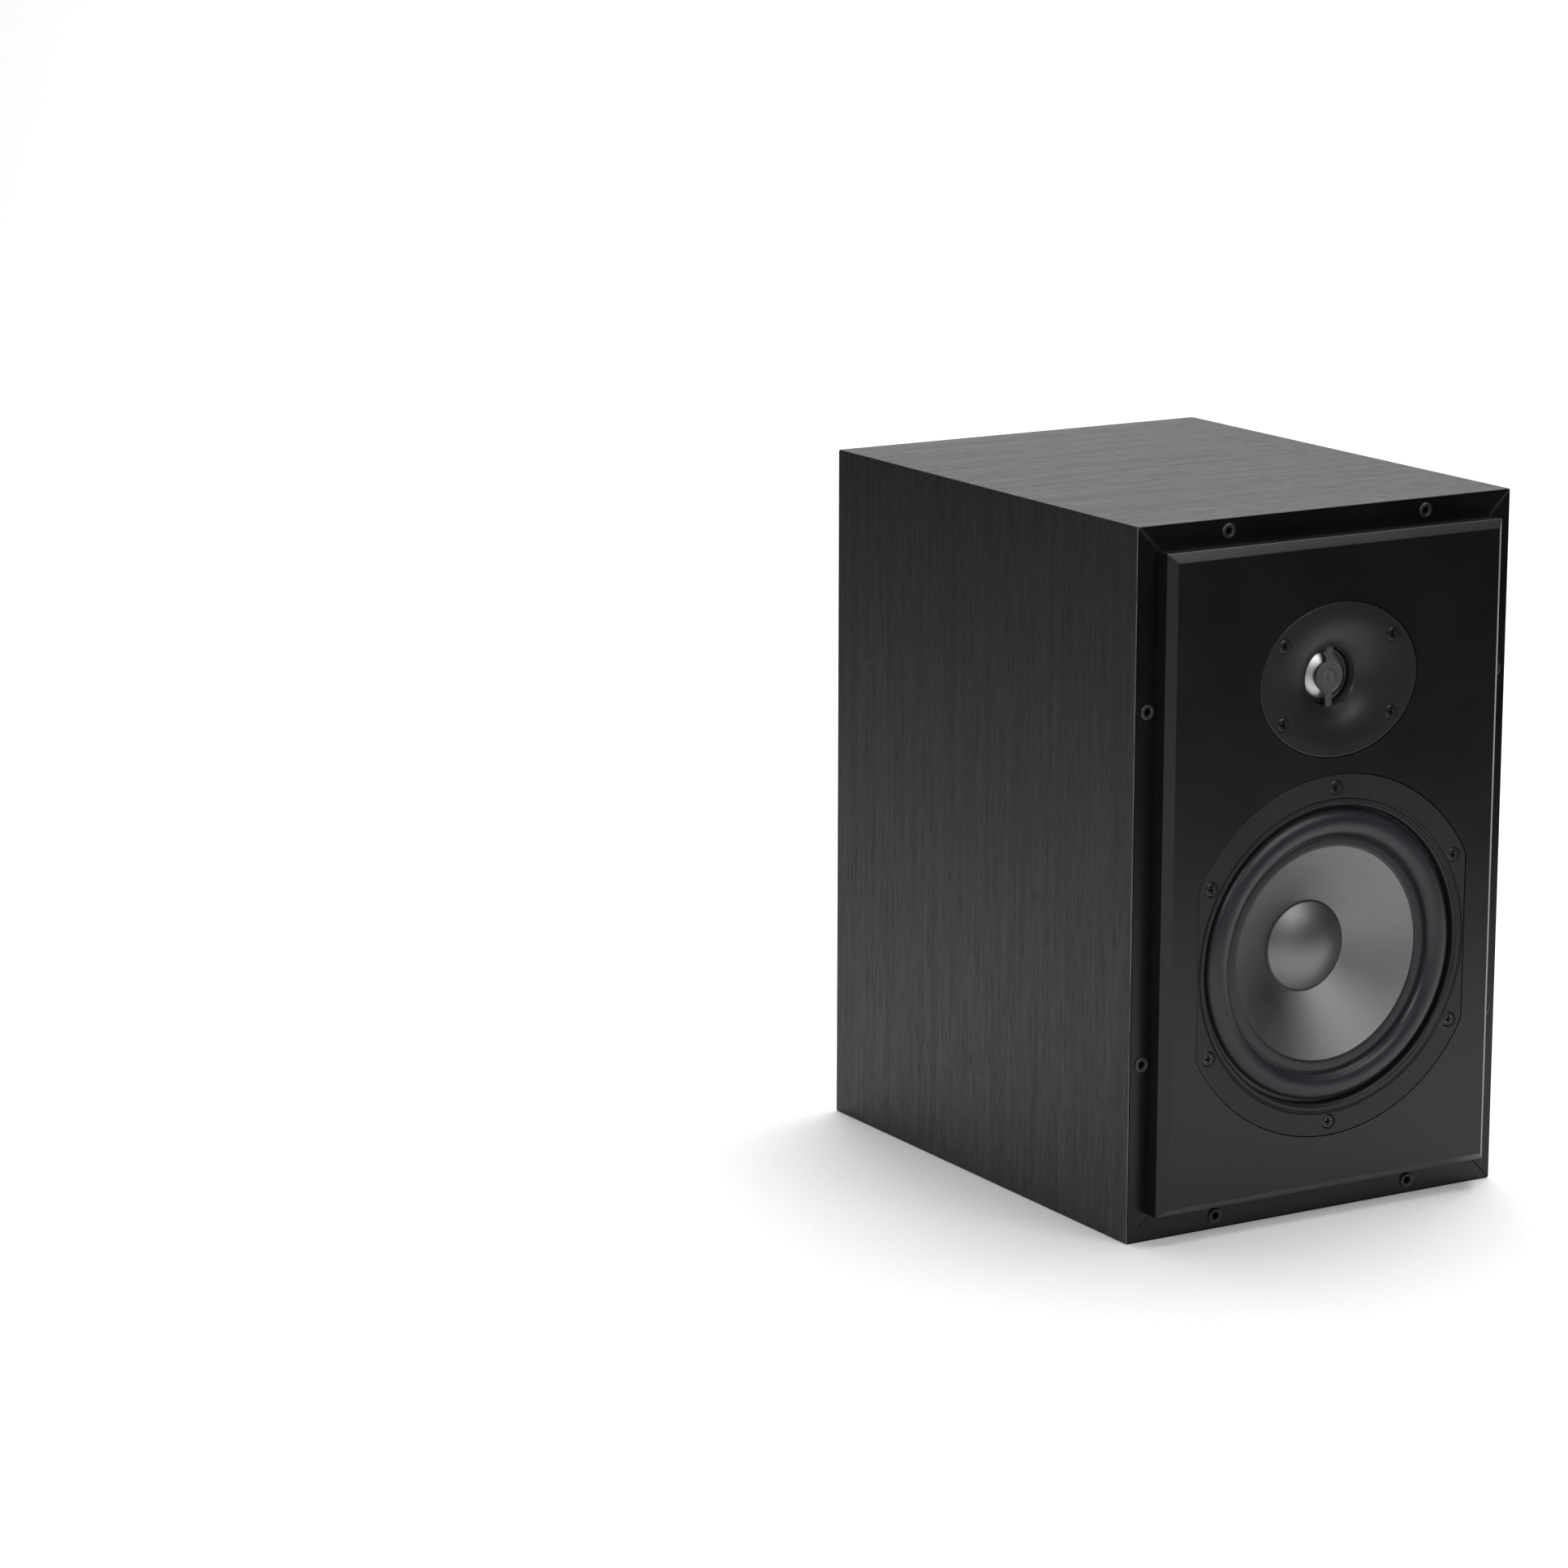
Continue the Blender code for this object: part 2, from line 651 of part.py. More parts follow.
def make_phase_bridge(looks, axis):
    """A disc held in front of the dome by an upright bar across the horn's throat."""
    bar = box_shape((-2.6 * MM, -17.2 * MM, -11.4 * MM), (2.6 * MM, 17.2 * MM, -9.6 * MM))
    bridge = attach(make_object("tweeter_phase_bridge", bar, looks["plate_black"]), axis)
    profile = [(0, 9.0), (3.4, 9.0), (4.2, 9.5), (9.4, 9.5), (10, 10.1), (10, 11.6), (0, 11.6)]
    disc = turned("phase_disc_guide", millimetres(profile), None, 32)
    attach(disc, axis)
    cut(bridge, disc, "UNION")


def make_tweeter(looks, axis, bores):
    """Faceplate, dome, coil and motor of the small driver."""
    make_faceplate(looks, axis, bores)
    make_phase_bridge(looks, axis)
    dome = dome_profile(14.3, 12.3, 16.0, 0.5)
    attach(turned("tweeter_dome", dome, looks["dome_metal"]), axis)
    coil = millimetres([(13.2, 16.8), (13.8, 16.8), (13.8, 24.0), (13.2, 24.0)])
    attach(turned("tweeter_voice_coil", coil, looks["coil_copper"]), axis)
    roll = millimetres([
        (14.6, 16.2), (15.4, 15.3), (16.8, 15.3), (17.6, 16.2), (20.2, 16.3), (20.2, 16.9), (14.6, 16.9),
    ])
    attach(turned("tweeter_surround", roll, looks["rubber_black"]), axis)
    plate = millimetres([(14.4, 17.5), (36, 17.5), (36, 21.5), (14.4, 21.5)])
    attach(turned("tweeter_top_plate", plate, looks["zinc_steel"]), axis)
    magnet = millimetres([(18, 21.8), (36, 21.8), (36, 36.8), (18, 36.8)])
    attach(turned("tweeter_magnet", magnet, looks["ferrite"]), axis)
    yoke = millimetres([
        (0, 18.4), (12.4, 18.4), (12.7, 18.7), (12.7, 37.1), (35, 37.1), (35, 41.1), (0, 41.1),
    ])
    attach(turned("tweeter_yoke", yoke, looks["zinc_steel"]), axis)


# ---------------------------------------------------------------- screws

def make_screws(looks, prefix, places, axis, facing_front=True):
    """Countersunk cross-head wood screws, one for each place."""
    profile = [(0, 0.3), (4.1, 0.3), (4.4, 0.6), (1.9, 3.2), (1.9, 18.5), (0, 20.5)]
    slot = 0.55 * MM
    reach = 2.2 * MM
    for number, (x, z) in enumerate(places, start=1):
        place = (x, axis.location.y, z + axis.location.z)
        centre = axis_empty(f"{prefix}_screw_axis_{number}", place, facing_front)
        screw = turned(f"{prefix}_screw_{number}", millimetres(profile), looks["screw_black"], SMALL_ROUND)
        attach(screw, centre)
        for direction, size in (("a", (reach, slot)), ("b", (slot, reach))):
            low = (-size[0], -size[1], -2.0 * MM)
            high = (size[0], size[1], MM)
            blade = box(f"{prefix}_recess_{number}_{direction}", low, high, None)
            attach(blade, centre)
            cut(screw, blade)


# ---------------------------------------------------------------- rear fittings

def make_port(looks):
    """The reflex tube, flared at both ends, with a thin flange on the back panel."""
    length = PORT_LENGTH / MM
    profile = millimetres([
        (46, -3), (42.5, -3), (36.5, 0), (32.0, 6), (30, 14), (30, length - 14), (32.0, length - 5),
        (36.0, length), (38.5, length), (34.0, length - 6), (32.5, length - 15), (32.5, 18),
        (35.5, 8), (41.0, -0.3), (47, -0.3), (47, -2),
    ])
    tube = turned("port_tube", profile, looks["moulded_black"], ROUND)
    attach(tube, axis_empty("port_axis", (0, BACK_Y, PORT_Z), False))


def make_terminal_cup(looks, axis):
    """A recessed dish with a flange, bored for its two screws and the two binding posts."""
    flange_x = CUP_HALF_X + CUP_FLANGE
    flange_z = CUP_HALF_Z + CUP_FLANGE
    wall = 2.5 * MM
    mouth_x = CUP_HALF_X - wall
    mouth_z = CUP_HALF_Z - wall
    draft = 3 * MM
    corner = 5 * MM
    rings = [
        rounded_ring(mouth_x - draft, mouth_z - draft, corner, CUP_FLOOR),
        rounded_ring(mouth_x, mouth_z, corner, -REAR_PROUD),
        rounded_ring(flange_x - MM, flange_z - MM, corner, -REAR_PROUD),
        rounded_ring(flange_x, flange_z, corner, -REAR_PROUD + MM),
        rounded_ring(flange_x, flange_z, corner, -GAP),
        rounded_ring(CUP_HALF_X, CUP_HALF_Z, corner, -GAP),
        rounded_ring(CUP_HALF_X - draft, CUP_HALF_Z - draft, corner, CUP_FLOOR + wall),
    ]
    cup = attach(lofted("terminal_cup", rings, looks["moulded_black"]), axis)
    shapes = []
    for x in (-POST_X, POST_X):
        shapes.append(cylinder_shape(3.2 * MM, -40 * MM, 5 * MM, (x, 0)))
    for x in (-CUP_SCREW_X, CUP_SCREW_X):
        shapes.append(screw_bore_shape((x, 0), -REAR_PROUD))
    bores = attach(join_shapes("post_and_screw_bores", shapes), axis)
    cut(cup, bores)
    return bores


def make_posts(looks, cup_axis):
    """Two binding posts: a hollow threaded stud, a metal nut insert and a plastic cap on it."""
    stud = millimetres([
        (0, 14), (2.0, 14), (2.0, 0.5), (2.5, 0.5), (2.5, 16.7), (6.5, 16.7), (6.5, 19.7), (2.9, 19.7),
        (2.9, 22.8), (5.5, 22.8), (5.5, 26), (2.9, 26), (2.9, 32), (0, 32),
    ])
    insert = millimetres([(2.8, 2.2), (4.0, 2.2), (4.0, 14), (2.8, 14)])
    cap = millimetres([
        (3.0, 1.0), (6.3, 1.0), (7.0, 1.7), (7.0, 16.2), (4.3, 16.2), (4.3, 1.9), (3.0, 1.9),
    ])
    for colour, x in (("red", -POST_X), ("black", POST_X)):
        place = (x, cup_axis.location.y, cup_axis.location.z)
        axis = axis_empty(f"post_axis_{colour}", place, False)
        attach(turned(f"post_stud_{colour}", stud, looks["post_metal"], SMALL_ROUND), axis)
        attach(turned(f"post_insert_{colour}", insert, looks["post_metal"], SMALL_ROUND), axis)
        attach(turned(f"post_cap_{colour}", cap, looks[f"post_{colour}"], 16), axis)


# ---------------------------------------------------------------- crossover and wiring

def make_crossover(looks):
    """The filter board on the cabinet floor, with its coil and its capacitor."""
    foot = WALL + GAP
    top = foot + BOARD_THICKNESS + GAP
    low = (-BOARD_HALF_X, BOARD_Y - BOARD_HALF_Y, foot)
    high = (BOARD_HALF_X, BOARD_Y + BOARD_HALF_Y, foot + BOARD_THICKNESS)
    box("crossover_board", low, high, looks["board_green"])

    winding = millimetres([(10, 0), (24, 0), (24, -18), (10, -18)])
    coil = turned("crossover_coil", winding, looks["coil_copper"])
    coil.location = (-44 * MM, BOARD_Y, top)

    can = millimetres([(0, 0), (8.4, 0), (9, 0.6), (9, 33.4), (8.4, 34), (0, 34)])
    capacitor = turned("crossover_capacitor", can, looks["film_yellow"], 16)
    capacitor.rotation_euler = (0, math.radians(-90), 0)
    capacitor.location = (12 * MM, BOARD_Y + 14 * MM, top + 9 * MM + GAP)


def make_cable(name, route, radius, material):
    """A cable along a smooth curve through its route points, with closed ends."""
    points = [Vector(point) * MM for point in route]
    steps = 4
    smooth = []
    for i in range(len(points) - 1):
        before = points[max(i - 1, 0)]
        start, end = points[i], points[i + 1]
        after = points[min(i + 2, len(points) - 1)]
        for step in range(steps):
            t = step / steps
            bend = 2 * before - 5 * start + 4 * end - after
            twist = 3 * start - 3 * end + after - before
            smooth.append(0.5 * (2 * start + (end - before) * t + bend * t * t + twist * t ** 3))
    smooth.append(points[-1])
    curve = bpy.data.curves.new(name, "CURVE")
    curve.dimensions = "3D"
    curve.bevel_depth = radius
    curve.bevel_resolution = 1
    curve.use_fill_caps = True
    spline = curve.splines.new("POLY")
    spline.points.add(len(smooth) - 1)
    for point, place in zip(spline.points, smooth):
        point.co = (*place, 1)
    curve.materials.append(material)
    item = bpy.data.objects.new(name, curve)
    bpy.context.scene.collection.objects.link(item)


def make_cables(looks):
    """Flex inside the cabinet: terminals to board, board to each driver. Routes in millimetres."""
    radius = 1.7 * MM
    look = looks["cable_grey"]
    face = FACE_Y / MM
    rear = BACK_Y / MM - 32.6
    on_board = 22.3
    for colour, side in (("red", -1), ("black", 1)):
        x = side * POST_X / MM
        route = [
            (x, rear, 112), (x, rear - 10, 106), (x, rear - 14, 70),
            (x, rear - 14, 32), (x, 112, on_board),
        ]
        make_cable(f"input_cable_{colour}", route, radius, look)
    woofer = [
        (0, 28, on_board), (0, 4, 28), (0, -30, 50), (0, -74, 82),
        (0, face + 62, 96), (0, face + 48, 96),
    ]
    make_cable("woofer_cable", woofer, radius, look)
    tweeter = [
        (34, 28, on_board), (46, 8, 32), (74, -10, 90), (80, -14, 180), (74, -20, 250),
        (60, -40, 296), (30, -84, 322), (12, face + 56, 329), (8, face + 43, 329.7),
    ]
    make_cable("tweeter_cable", tweeter, radius, look)


# ---------------------------------------------------------------- assembly

def main():
    clear_scene()
    looks = make_finishes()
    woofer_axis = axis_empty("woofer_axis", (0, FACE_Y, WOOFER_Z), True)
    tweeter_axis = axis_empty("tweeter_axis", (0, FACE_Y, TWEETER_Z), True)
    cup_axis = axis_empty("cup_axis", (0, BACK_Y, CUP_Z), False)
    cup_surface = axis_empty("cup_surface", (0, BACK_Y + REAR_PROUD, CUP_Z), False)
    cup_bores = make_terminal_cup(looks, cup_axis)
    make_walls(looks)
    make_sockets(looks)
    make_back_panel(looks, cup_bores)
    make_brace(looks)
    make_damping(looks)
    woofer_bores, tweeter_bores = make_baffle(looks, woofer_axis, tweeter_axis)
    make_woofer(looks, woofer_axis, woofer_bores)
    make_tweeter(looks, tweeter_axis, tweeter_bores)
    make_screws(looks, "woofer", woofer_screw_places(), woofer_axis)
    make_screws(looks, "tweeter", tweeter_screw_places(), tweeter_axis)
    make_screws(looks, "cup", [(-CUP_SCREW_X, 0), (CUP_SCREW_X, 0)], cup_surface, facing_front=False)
    make_port(looks)
    make_posts(looks, cup_axis)
    make_crossover(looks)
    make_cables(looks)


main()
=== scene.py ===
"""Looks of a two-way bookshelf loudspeaker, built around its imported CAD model.

Metres, +Z up, the front faces -Y. Profiles of turned pieces are (radius, depth) points in millimetres,
with an optional third number, the rounding of that corner. Depths run inwards from the front face of
the baffle for the drive units, and inwards from the back board for the rear fittings.
"""

import json
import math

import bmesh
import bpy
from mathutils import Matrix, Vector
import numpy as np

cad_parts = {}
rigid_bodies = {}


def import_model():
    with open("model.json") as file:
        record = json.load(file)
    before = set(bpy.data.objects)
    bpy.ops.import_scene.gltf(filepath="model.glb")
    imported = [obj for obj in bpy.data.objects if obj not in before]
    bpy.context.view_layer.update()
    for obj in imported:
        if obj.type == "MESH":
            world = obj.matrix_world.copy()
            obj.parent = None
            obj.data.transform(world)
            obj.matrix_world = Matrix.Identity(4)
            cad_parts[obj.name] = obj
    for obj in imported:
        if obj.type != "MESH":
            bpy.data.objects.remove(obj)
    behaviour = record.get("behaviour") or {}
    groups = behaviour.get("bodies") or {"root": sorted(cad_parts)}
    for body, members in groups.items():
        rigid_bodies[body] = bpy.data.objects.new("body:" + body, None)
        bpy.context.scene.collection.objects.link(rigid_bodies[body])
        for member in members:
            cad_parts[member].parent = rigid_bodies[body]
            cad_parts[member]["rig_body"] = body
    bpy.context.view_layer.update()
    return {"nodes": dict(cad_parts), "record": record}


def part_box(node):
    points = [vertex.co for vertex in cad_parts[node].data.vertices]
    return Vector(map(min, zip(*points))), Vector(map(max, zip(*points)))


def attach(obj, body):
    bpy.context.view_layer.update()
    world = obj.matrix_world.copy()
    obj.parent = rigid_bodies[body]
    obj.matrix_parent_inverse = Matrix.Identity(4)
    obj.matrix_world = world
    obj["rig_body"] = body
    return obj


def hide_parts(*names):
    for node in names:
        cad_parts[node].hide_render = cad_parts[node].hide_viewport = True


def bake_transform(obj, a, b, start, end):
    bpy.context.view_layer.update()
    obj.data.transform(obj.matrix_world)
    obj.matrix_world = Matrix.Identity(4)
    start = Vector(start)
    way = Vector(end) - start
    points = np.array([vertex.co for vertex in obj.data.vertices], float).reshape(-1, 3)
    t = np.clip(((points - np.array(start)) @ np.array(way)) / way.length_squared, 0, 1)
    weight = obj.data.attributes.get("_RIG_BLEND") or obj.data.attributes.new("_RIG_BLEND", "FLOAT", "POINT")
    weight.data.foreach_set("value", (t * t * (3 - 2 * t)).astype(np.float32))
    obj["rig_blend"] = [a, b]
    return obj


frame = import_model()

MM = 0.001


def middle_of(node):
    low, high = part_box(node)
    return (low + high) / 2


def on_plane(node, y):
    """Where the middle line of a node along Y meets a plane."""
    middle = middle_of(node)
    return Vector((middle.x, y, middle.z))


def nodes_named(prefix):
    return sorted(name for name in frame["nodes"] if name.startswith(prefix))


# Places and sizes from the frame, in metres
FACE_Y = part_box("front_baffle")[0].y
EDGE_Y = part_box("top_panel")[0].y
BACK_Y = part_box("top_panel")[1].y
HALF_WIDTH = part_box("right_panel")[1].x
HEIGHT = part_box("top_panel")[1].z
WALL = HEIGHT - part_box("top_panel")[0].z
WOOFER = Vector((0, FACE_Y, middle_of("woofer_cone").z))
TWEETER = Vector((0, FACE_Y, middle_of("tweeter_dome").z))
PORT = Vector((0, BACK_Y, middle_of("port_tube").z))
CUP = Vector((0, BACK_Y, middle_of("terminal_cup").z))

GAP = 0.3 * MM
CORNERS = ((-1, -1), (1, -1), (1, 1), (-1, 1))

# Which way depth runs, the segments of a turn, and the angles in degrees from which edges stay sharp
FRONT, REAR = 1, -1
FINE, PLAIN, MEDIUM, SMALL, COARSE = 144, 96, 72, 40, 32
SHARP, MILD, SOFT, ROLLED = 32, 40, 50, 60

# Depths in millimetres where a cutter starts, in front of a surface, and where a through cut ends
BEFORE, BEYOND = -2, 40

# Sizes that two pieces share, in millimetres
WOOFER_FRAME_R = 110.6
WOOFER_FLAT_X = 97.7
FLATS_BEGIN_R = 97.45
PLATE_X, PLATE_Z = 57.0, 46.6


# -------- material building blocks

class Finish:
    """A material under construction: a Principled shader with helpers for the nodes before it."""

    def __init__(self, name, roughness=0.5, metallic=0.0, specular=0.5):
        self.material = bpy.data.materials.new(name)
        self.material.use_nodes = True
        self.tree = self.material.node_tree
        self.shader = self.tree.nodes["Principled BSDF"]
        self.set("Roughness", roughness)
        self.set("Metallic", metallic)
        self.set("Specular IOR Level", specular)
        self.place = self.tree.nodes.new("ShaderNodeTexCoord").outputs["Object"]

    def connect(self, value, socket):
        """A node's output is linked to a socket. A constant goes straight on it."""
        if isinstance(value, bpy.types.NodeSocket):
            self.tree.links.new(value, socket)
        else:
            socket.default_value = value

    def set(self, name, value):
        self.connect(value, self.shader.inputs[name])

    def node(self, kind, inputs=None, **settings):
        made = self.tree.nodes.new(kind)
        for key, value in settings.items():
            setattr(made, key, value)
        for key, value in (inputs or {}).items():
            self.connect(value, made.inputs[key])
        return made

    def stretched(self, per_metre):
        """Object coordinates scaled to so many features per metre along X, Y and Z."""
        inputs = {"Vector": self.place, "Scale": per_metre}
        return self.node("ShaderNodeMapping", inputs).outputs["Vector"]

    def noise(self, per_metre, detail=3.0, roughness=0.5, distortion=0.0):
        inputs = {
            "Vector": self.stretched(per_metre),
            "Scale": 1.0,
            "Detail": detail,
            "Roughness": roughness,
            "Distortion": distortion,
        }
        return self.node("ShaderNodeTexNoise", inputs).outputs["Fac"]

    def cells(self, per_metre):
        inputs = {"Vector": self.stretched(per_metre), "Scale": 1.0}
        return self.node("ShaderNodeTexVoronoi", inputs).outputs["Distance"]

    def colour(self, factor, stops):
        """A ramp of (position, colour) stops for the base colour. A colour is three numbers or a grey."""
        made = self.node("ShaderNodeValToRGB", {"Fac": factor})
        ramp = made.color_ramp
        while len(ramp.elements) < len(stops):
            ramp.elements.new(0.5)
        for element, (position, colour) in zip(ramp.elements, stops):
            element.position = position
            shade = colour if hasattr(colour, "__len__") else (colour, colour, colour)
            element.color = (*shade, 1.0)
        self.set("Base Color", made.outputs["Color"])

    def math(self, operation, first, second=0.0):
        made = self.node("ShaderNodeMath", operation=operation)
        for socket, value in zip(made.inputs, (first, second)):
            self.connect(value, socket)
        return made.outputs["Value"]

    def blend(self, first, share, second):
        """The sum of two values, the first one's share given and the rest left to the second."""
        rest = round(1 - share, 2)
        return self.math("ADD", self.math("MULTIPLY", first, share), self.math("MULTIPLY", second, rest))

    def range(self, value, low, high, new_low, new_high):
        inputs = {"Value": value, "From Min": low, "From Max": high}
        inputs.update({"To Min": new_low, "To Max": new_high})
        return self.node("ShaderNodeMapRange", inputs).outputs["Result"]

    def relief(self, height, strength, distance):
        """Bumps on the surface, from a height."""
        inputs = {"Height": height, "Strength": strength, "Distance": distance}
        self.set("Normal", self.node("ShaderNodeBump", inputs).outputs["Normal"])

    def radius_about(self, centre):
        """Distance from an axis along Y through a centre, in metres."""
        axis = self.node("ShaderNodeSeparateXYZ", {"Vector": self.place}).outputs
        across = self.math("SUBTRACT", axis["X"], centre.x)
        up = self.math("SUBTRACT", axis["Z"], centre.z)
        square = self.math("ADD", self.math("MULTIPLY", across, across), self.math("MULTIPLY", up, up))
        return self.math("SQRT", square)


def vinyl(name, grain_axis, tone):
    """Black ash vinyl: long fibres along one axis, with short open pores pressed into it."""
    def along(fine, length):
        return tuple(length if axis == grain_axis else fine for axis in range(3))

    look = Finish(name, specular=0.42)
    look.set("Specular Tint", (0.94, 0.98, 1.0, 1.0))
    fibre = look.noise(along(900, 34), detail=5, roughness=0.66, distortion=0.5)
    streak = look.noise(along(150, 6), detail=3)
    pore = look.noise(along(1500, 90), detail=2, roughness=0.4)
    open_pore = look.range(pore, 0.60, 0.70, 0.0, 1.0)
    mixed = look.blend(fibre, 0.7, streak)
    height = look.math("SUBTRACT", mixed, look.math("MULTIPLY", open_pore, 0.35))
    shades = [
        (0.33, (0.0050, 0.0055, 0.0062)),
        (0.50, (0.0135, 0.0145, 0.0160)),
        (0.66, (0.0290, 0.0310, 0.0340)),
    ]
    toned = [(spot, tuple(tone * value for value in colour)) for spot, colour in shades]
    look.colour(height, toned)
    look.set("Roughness", look.range(height, 0.30, 0.66, 0.56, 0.40))
    look.relief(height, 0.95, 0.00034)
    return look.material


def satin(name, dark, light, roughness=(0.35, 0.5), per_metre=900, bump=0.12, depth=0.00006, metallic=0.0,
          specular=0.5):
    """A moulded, cast or painted surface: a fine grain under slow clouds of tone and gloss."""
    clouds_per_metre = 25
    look = Finish(name, metallic=metallic, specular=specular)
    grain = look.noise((per_metre,) * 3, detail=4, roughness=0.6)
    slow = look.noise((clouds_per_metre,) * 3, detail=3)
    tone = look.blend(grain, 0.55, slow)
    look.colour(tone, [(0.35, dark), (0.65, light)])
    look.set("Roughness", look.range(tone, 0.3, 0.7, *roughness))
    look.relief(grain, bump, depth)
    return look.material


def spun_metal(name, centre, dark, light, roughness, anisotropy):
    """Metal turned on a lathe: fine rings about its axis, so its shine spreads out as spokes of light."""
    rings_per_metre = 5200
    uneven = 0.04
    look = Finish(name, metallic=1.0)
    look.set("Anisotropic", anisotropy)
    scaled = look.math("MULTIPLY", look.radius_about(centre), rings_per_metre)
    inputs = {"W": scaled, "Scale": 1.0, "Detail": 3.0, "Roughness": 0.6}
    rings = look.node("ShaderNodeTexNoise", inputs, noise_dimensions="1D").outputs["Fac"]
    cloud = look.noise((60, 60, 60), detail=3)
    tone = look.blend(rings, 0.6, cloud)
    look.colour(tone, [(0.3, dark), (0.7, light)])
    look.set("Roughness", look.range(tone, 0.3, 0.7, roughness - uneven, roughness + uneven))
    look.relief(rings, 0.10, 0.00003)
    tangent = look.node("ShaderNodeTangent", direction_type="RADIAL", axis="Y")
    look.set("Tangent", tangent.outputs["Tangent"])
    return look.material


def wound(name, colour, turns_per_metre):
    """Enamelled wire wound side by side about Y: bright crowns and dark valleys."""
    look = Finish(name, metallic=0.9, roughness=0.32)
    along = look.node("ShaderNodeSeparateXYZ", {"Vector": look.place}).outputs["Y"]
    wave = look.math("SINE", look.math("MULTIPLY", along, math.tau * turns_per_metre))
    height = look.range(wave, -1.0, 1.0, 0.0, 1.0)
    dark = tuple(0.35 * part for part in colour)
    look.colour(height, [(0.0, dark), (0.6, colour)])
    look.relief(height, 0.6, 0.0002)
    return look.material


def woven(name, dark, light):
    """Cloth stiffened with resin: a plain weave with a little unevenness."""
    threads_per_metre = 900
    look = Finish(name, roughness=0.85, specular=0.25)
    axes = look.node("ShaderNodeSeparateXYZ", {"Vector": look.place}).outputs
    warp = look.math("SINE", look.math("MULTIPLY", axes["X"], math.tau * threads_per_metre))
    weft = look.math("SINE", look.math("MULTIPLY", axes["Z"], math.tau * threads_per_metre))
    weave = look.range(look.math("MULTIPLY", warp, weft), -1.0, 1.0, 0.0, 1.0)
    uneven = look.noise((160, 160, 160), detail=3)
    tone = look.blend(weave, 0.5, uneven)
    look.colour(tone, [(0.25, dark), (0.75, light)])
    look.relief(weave, 0.5, 0.0003)
    return look.material


def felt(name, dark, light):
    """Matted fibres: no shine, soft clumps and a fuzzy surface."""
    look = Finish(name, roughness=0.95, specular=0.1)
    look.set("Sheen Weight", 0.4)
    fibres = look.noise((1400, 1400, 1400), detail=6, roughness=0.75, distortion=1.2)
    clumps = look.noise((70, 70, 70), detail=3)
    tone = look.blend(fibres, 0.6, clumps)
    look.colour(tone, [(0.35, dark), (0.65, light)])
    look.relief(fibres, 0.8, 0.0005)
    return look.material


def fibreboard(name):
    """Bare medium-density fibreboard: tan, with pressed flecks of fibre."""
    look = Finish(name, roughness=0.88, specular=0.2)
    flecks = look.cells((900, 900, 900))
    cloud = look.noise((45, 45, 45), detail=4)
    tone = look.blend(flecks, 0.4, cloud)
    look.colour(tone, [(0.3, (0.24, 0.16, 0.09)), (0.7, (0.42, 0.30, 0.19))])
    look.relief(flecks, 0.3, 0.0002)
    return look.material


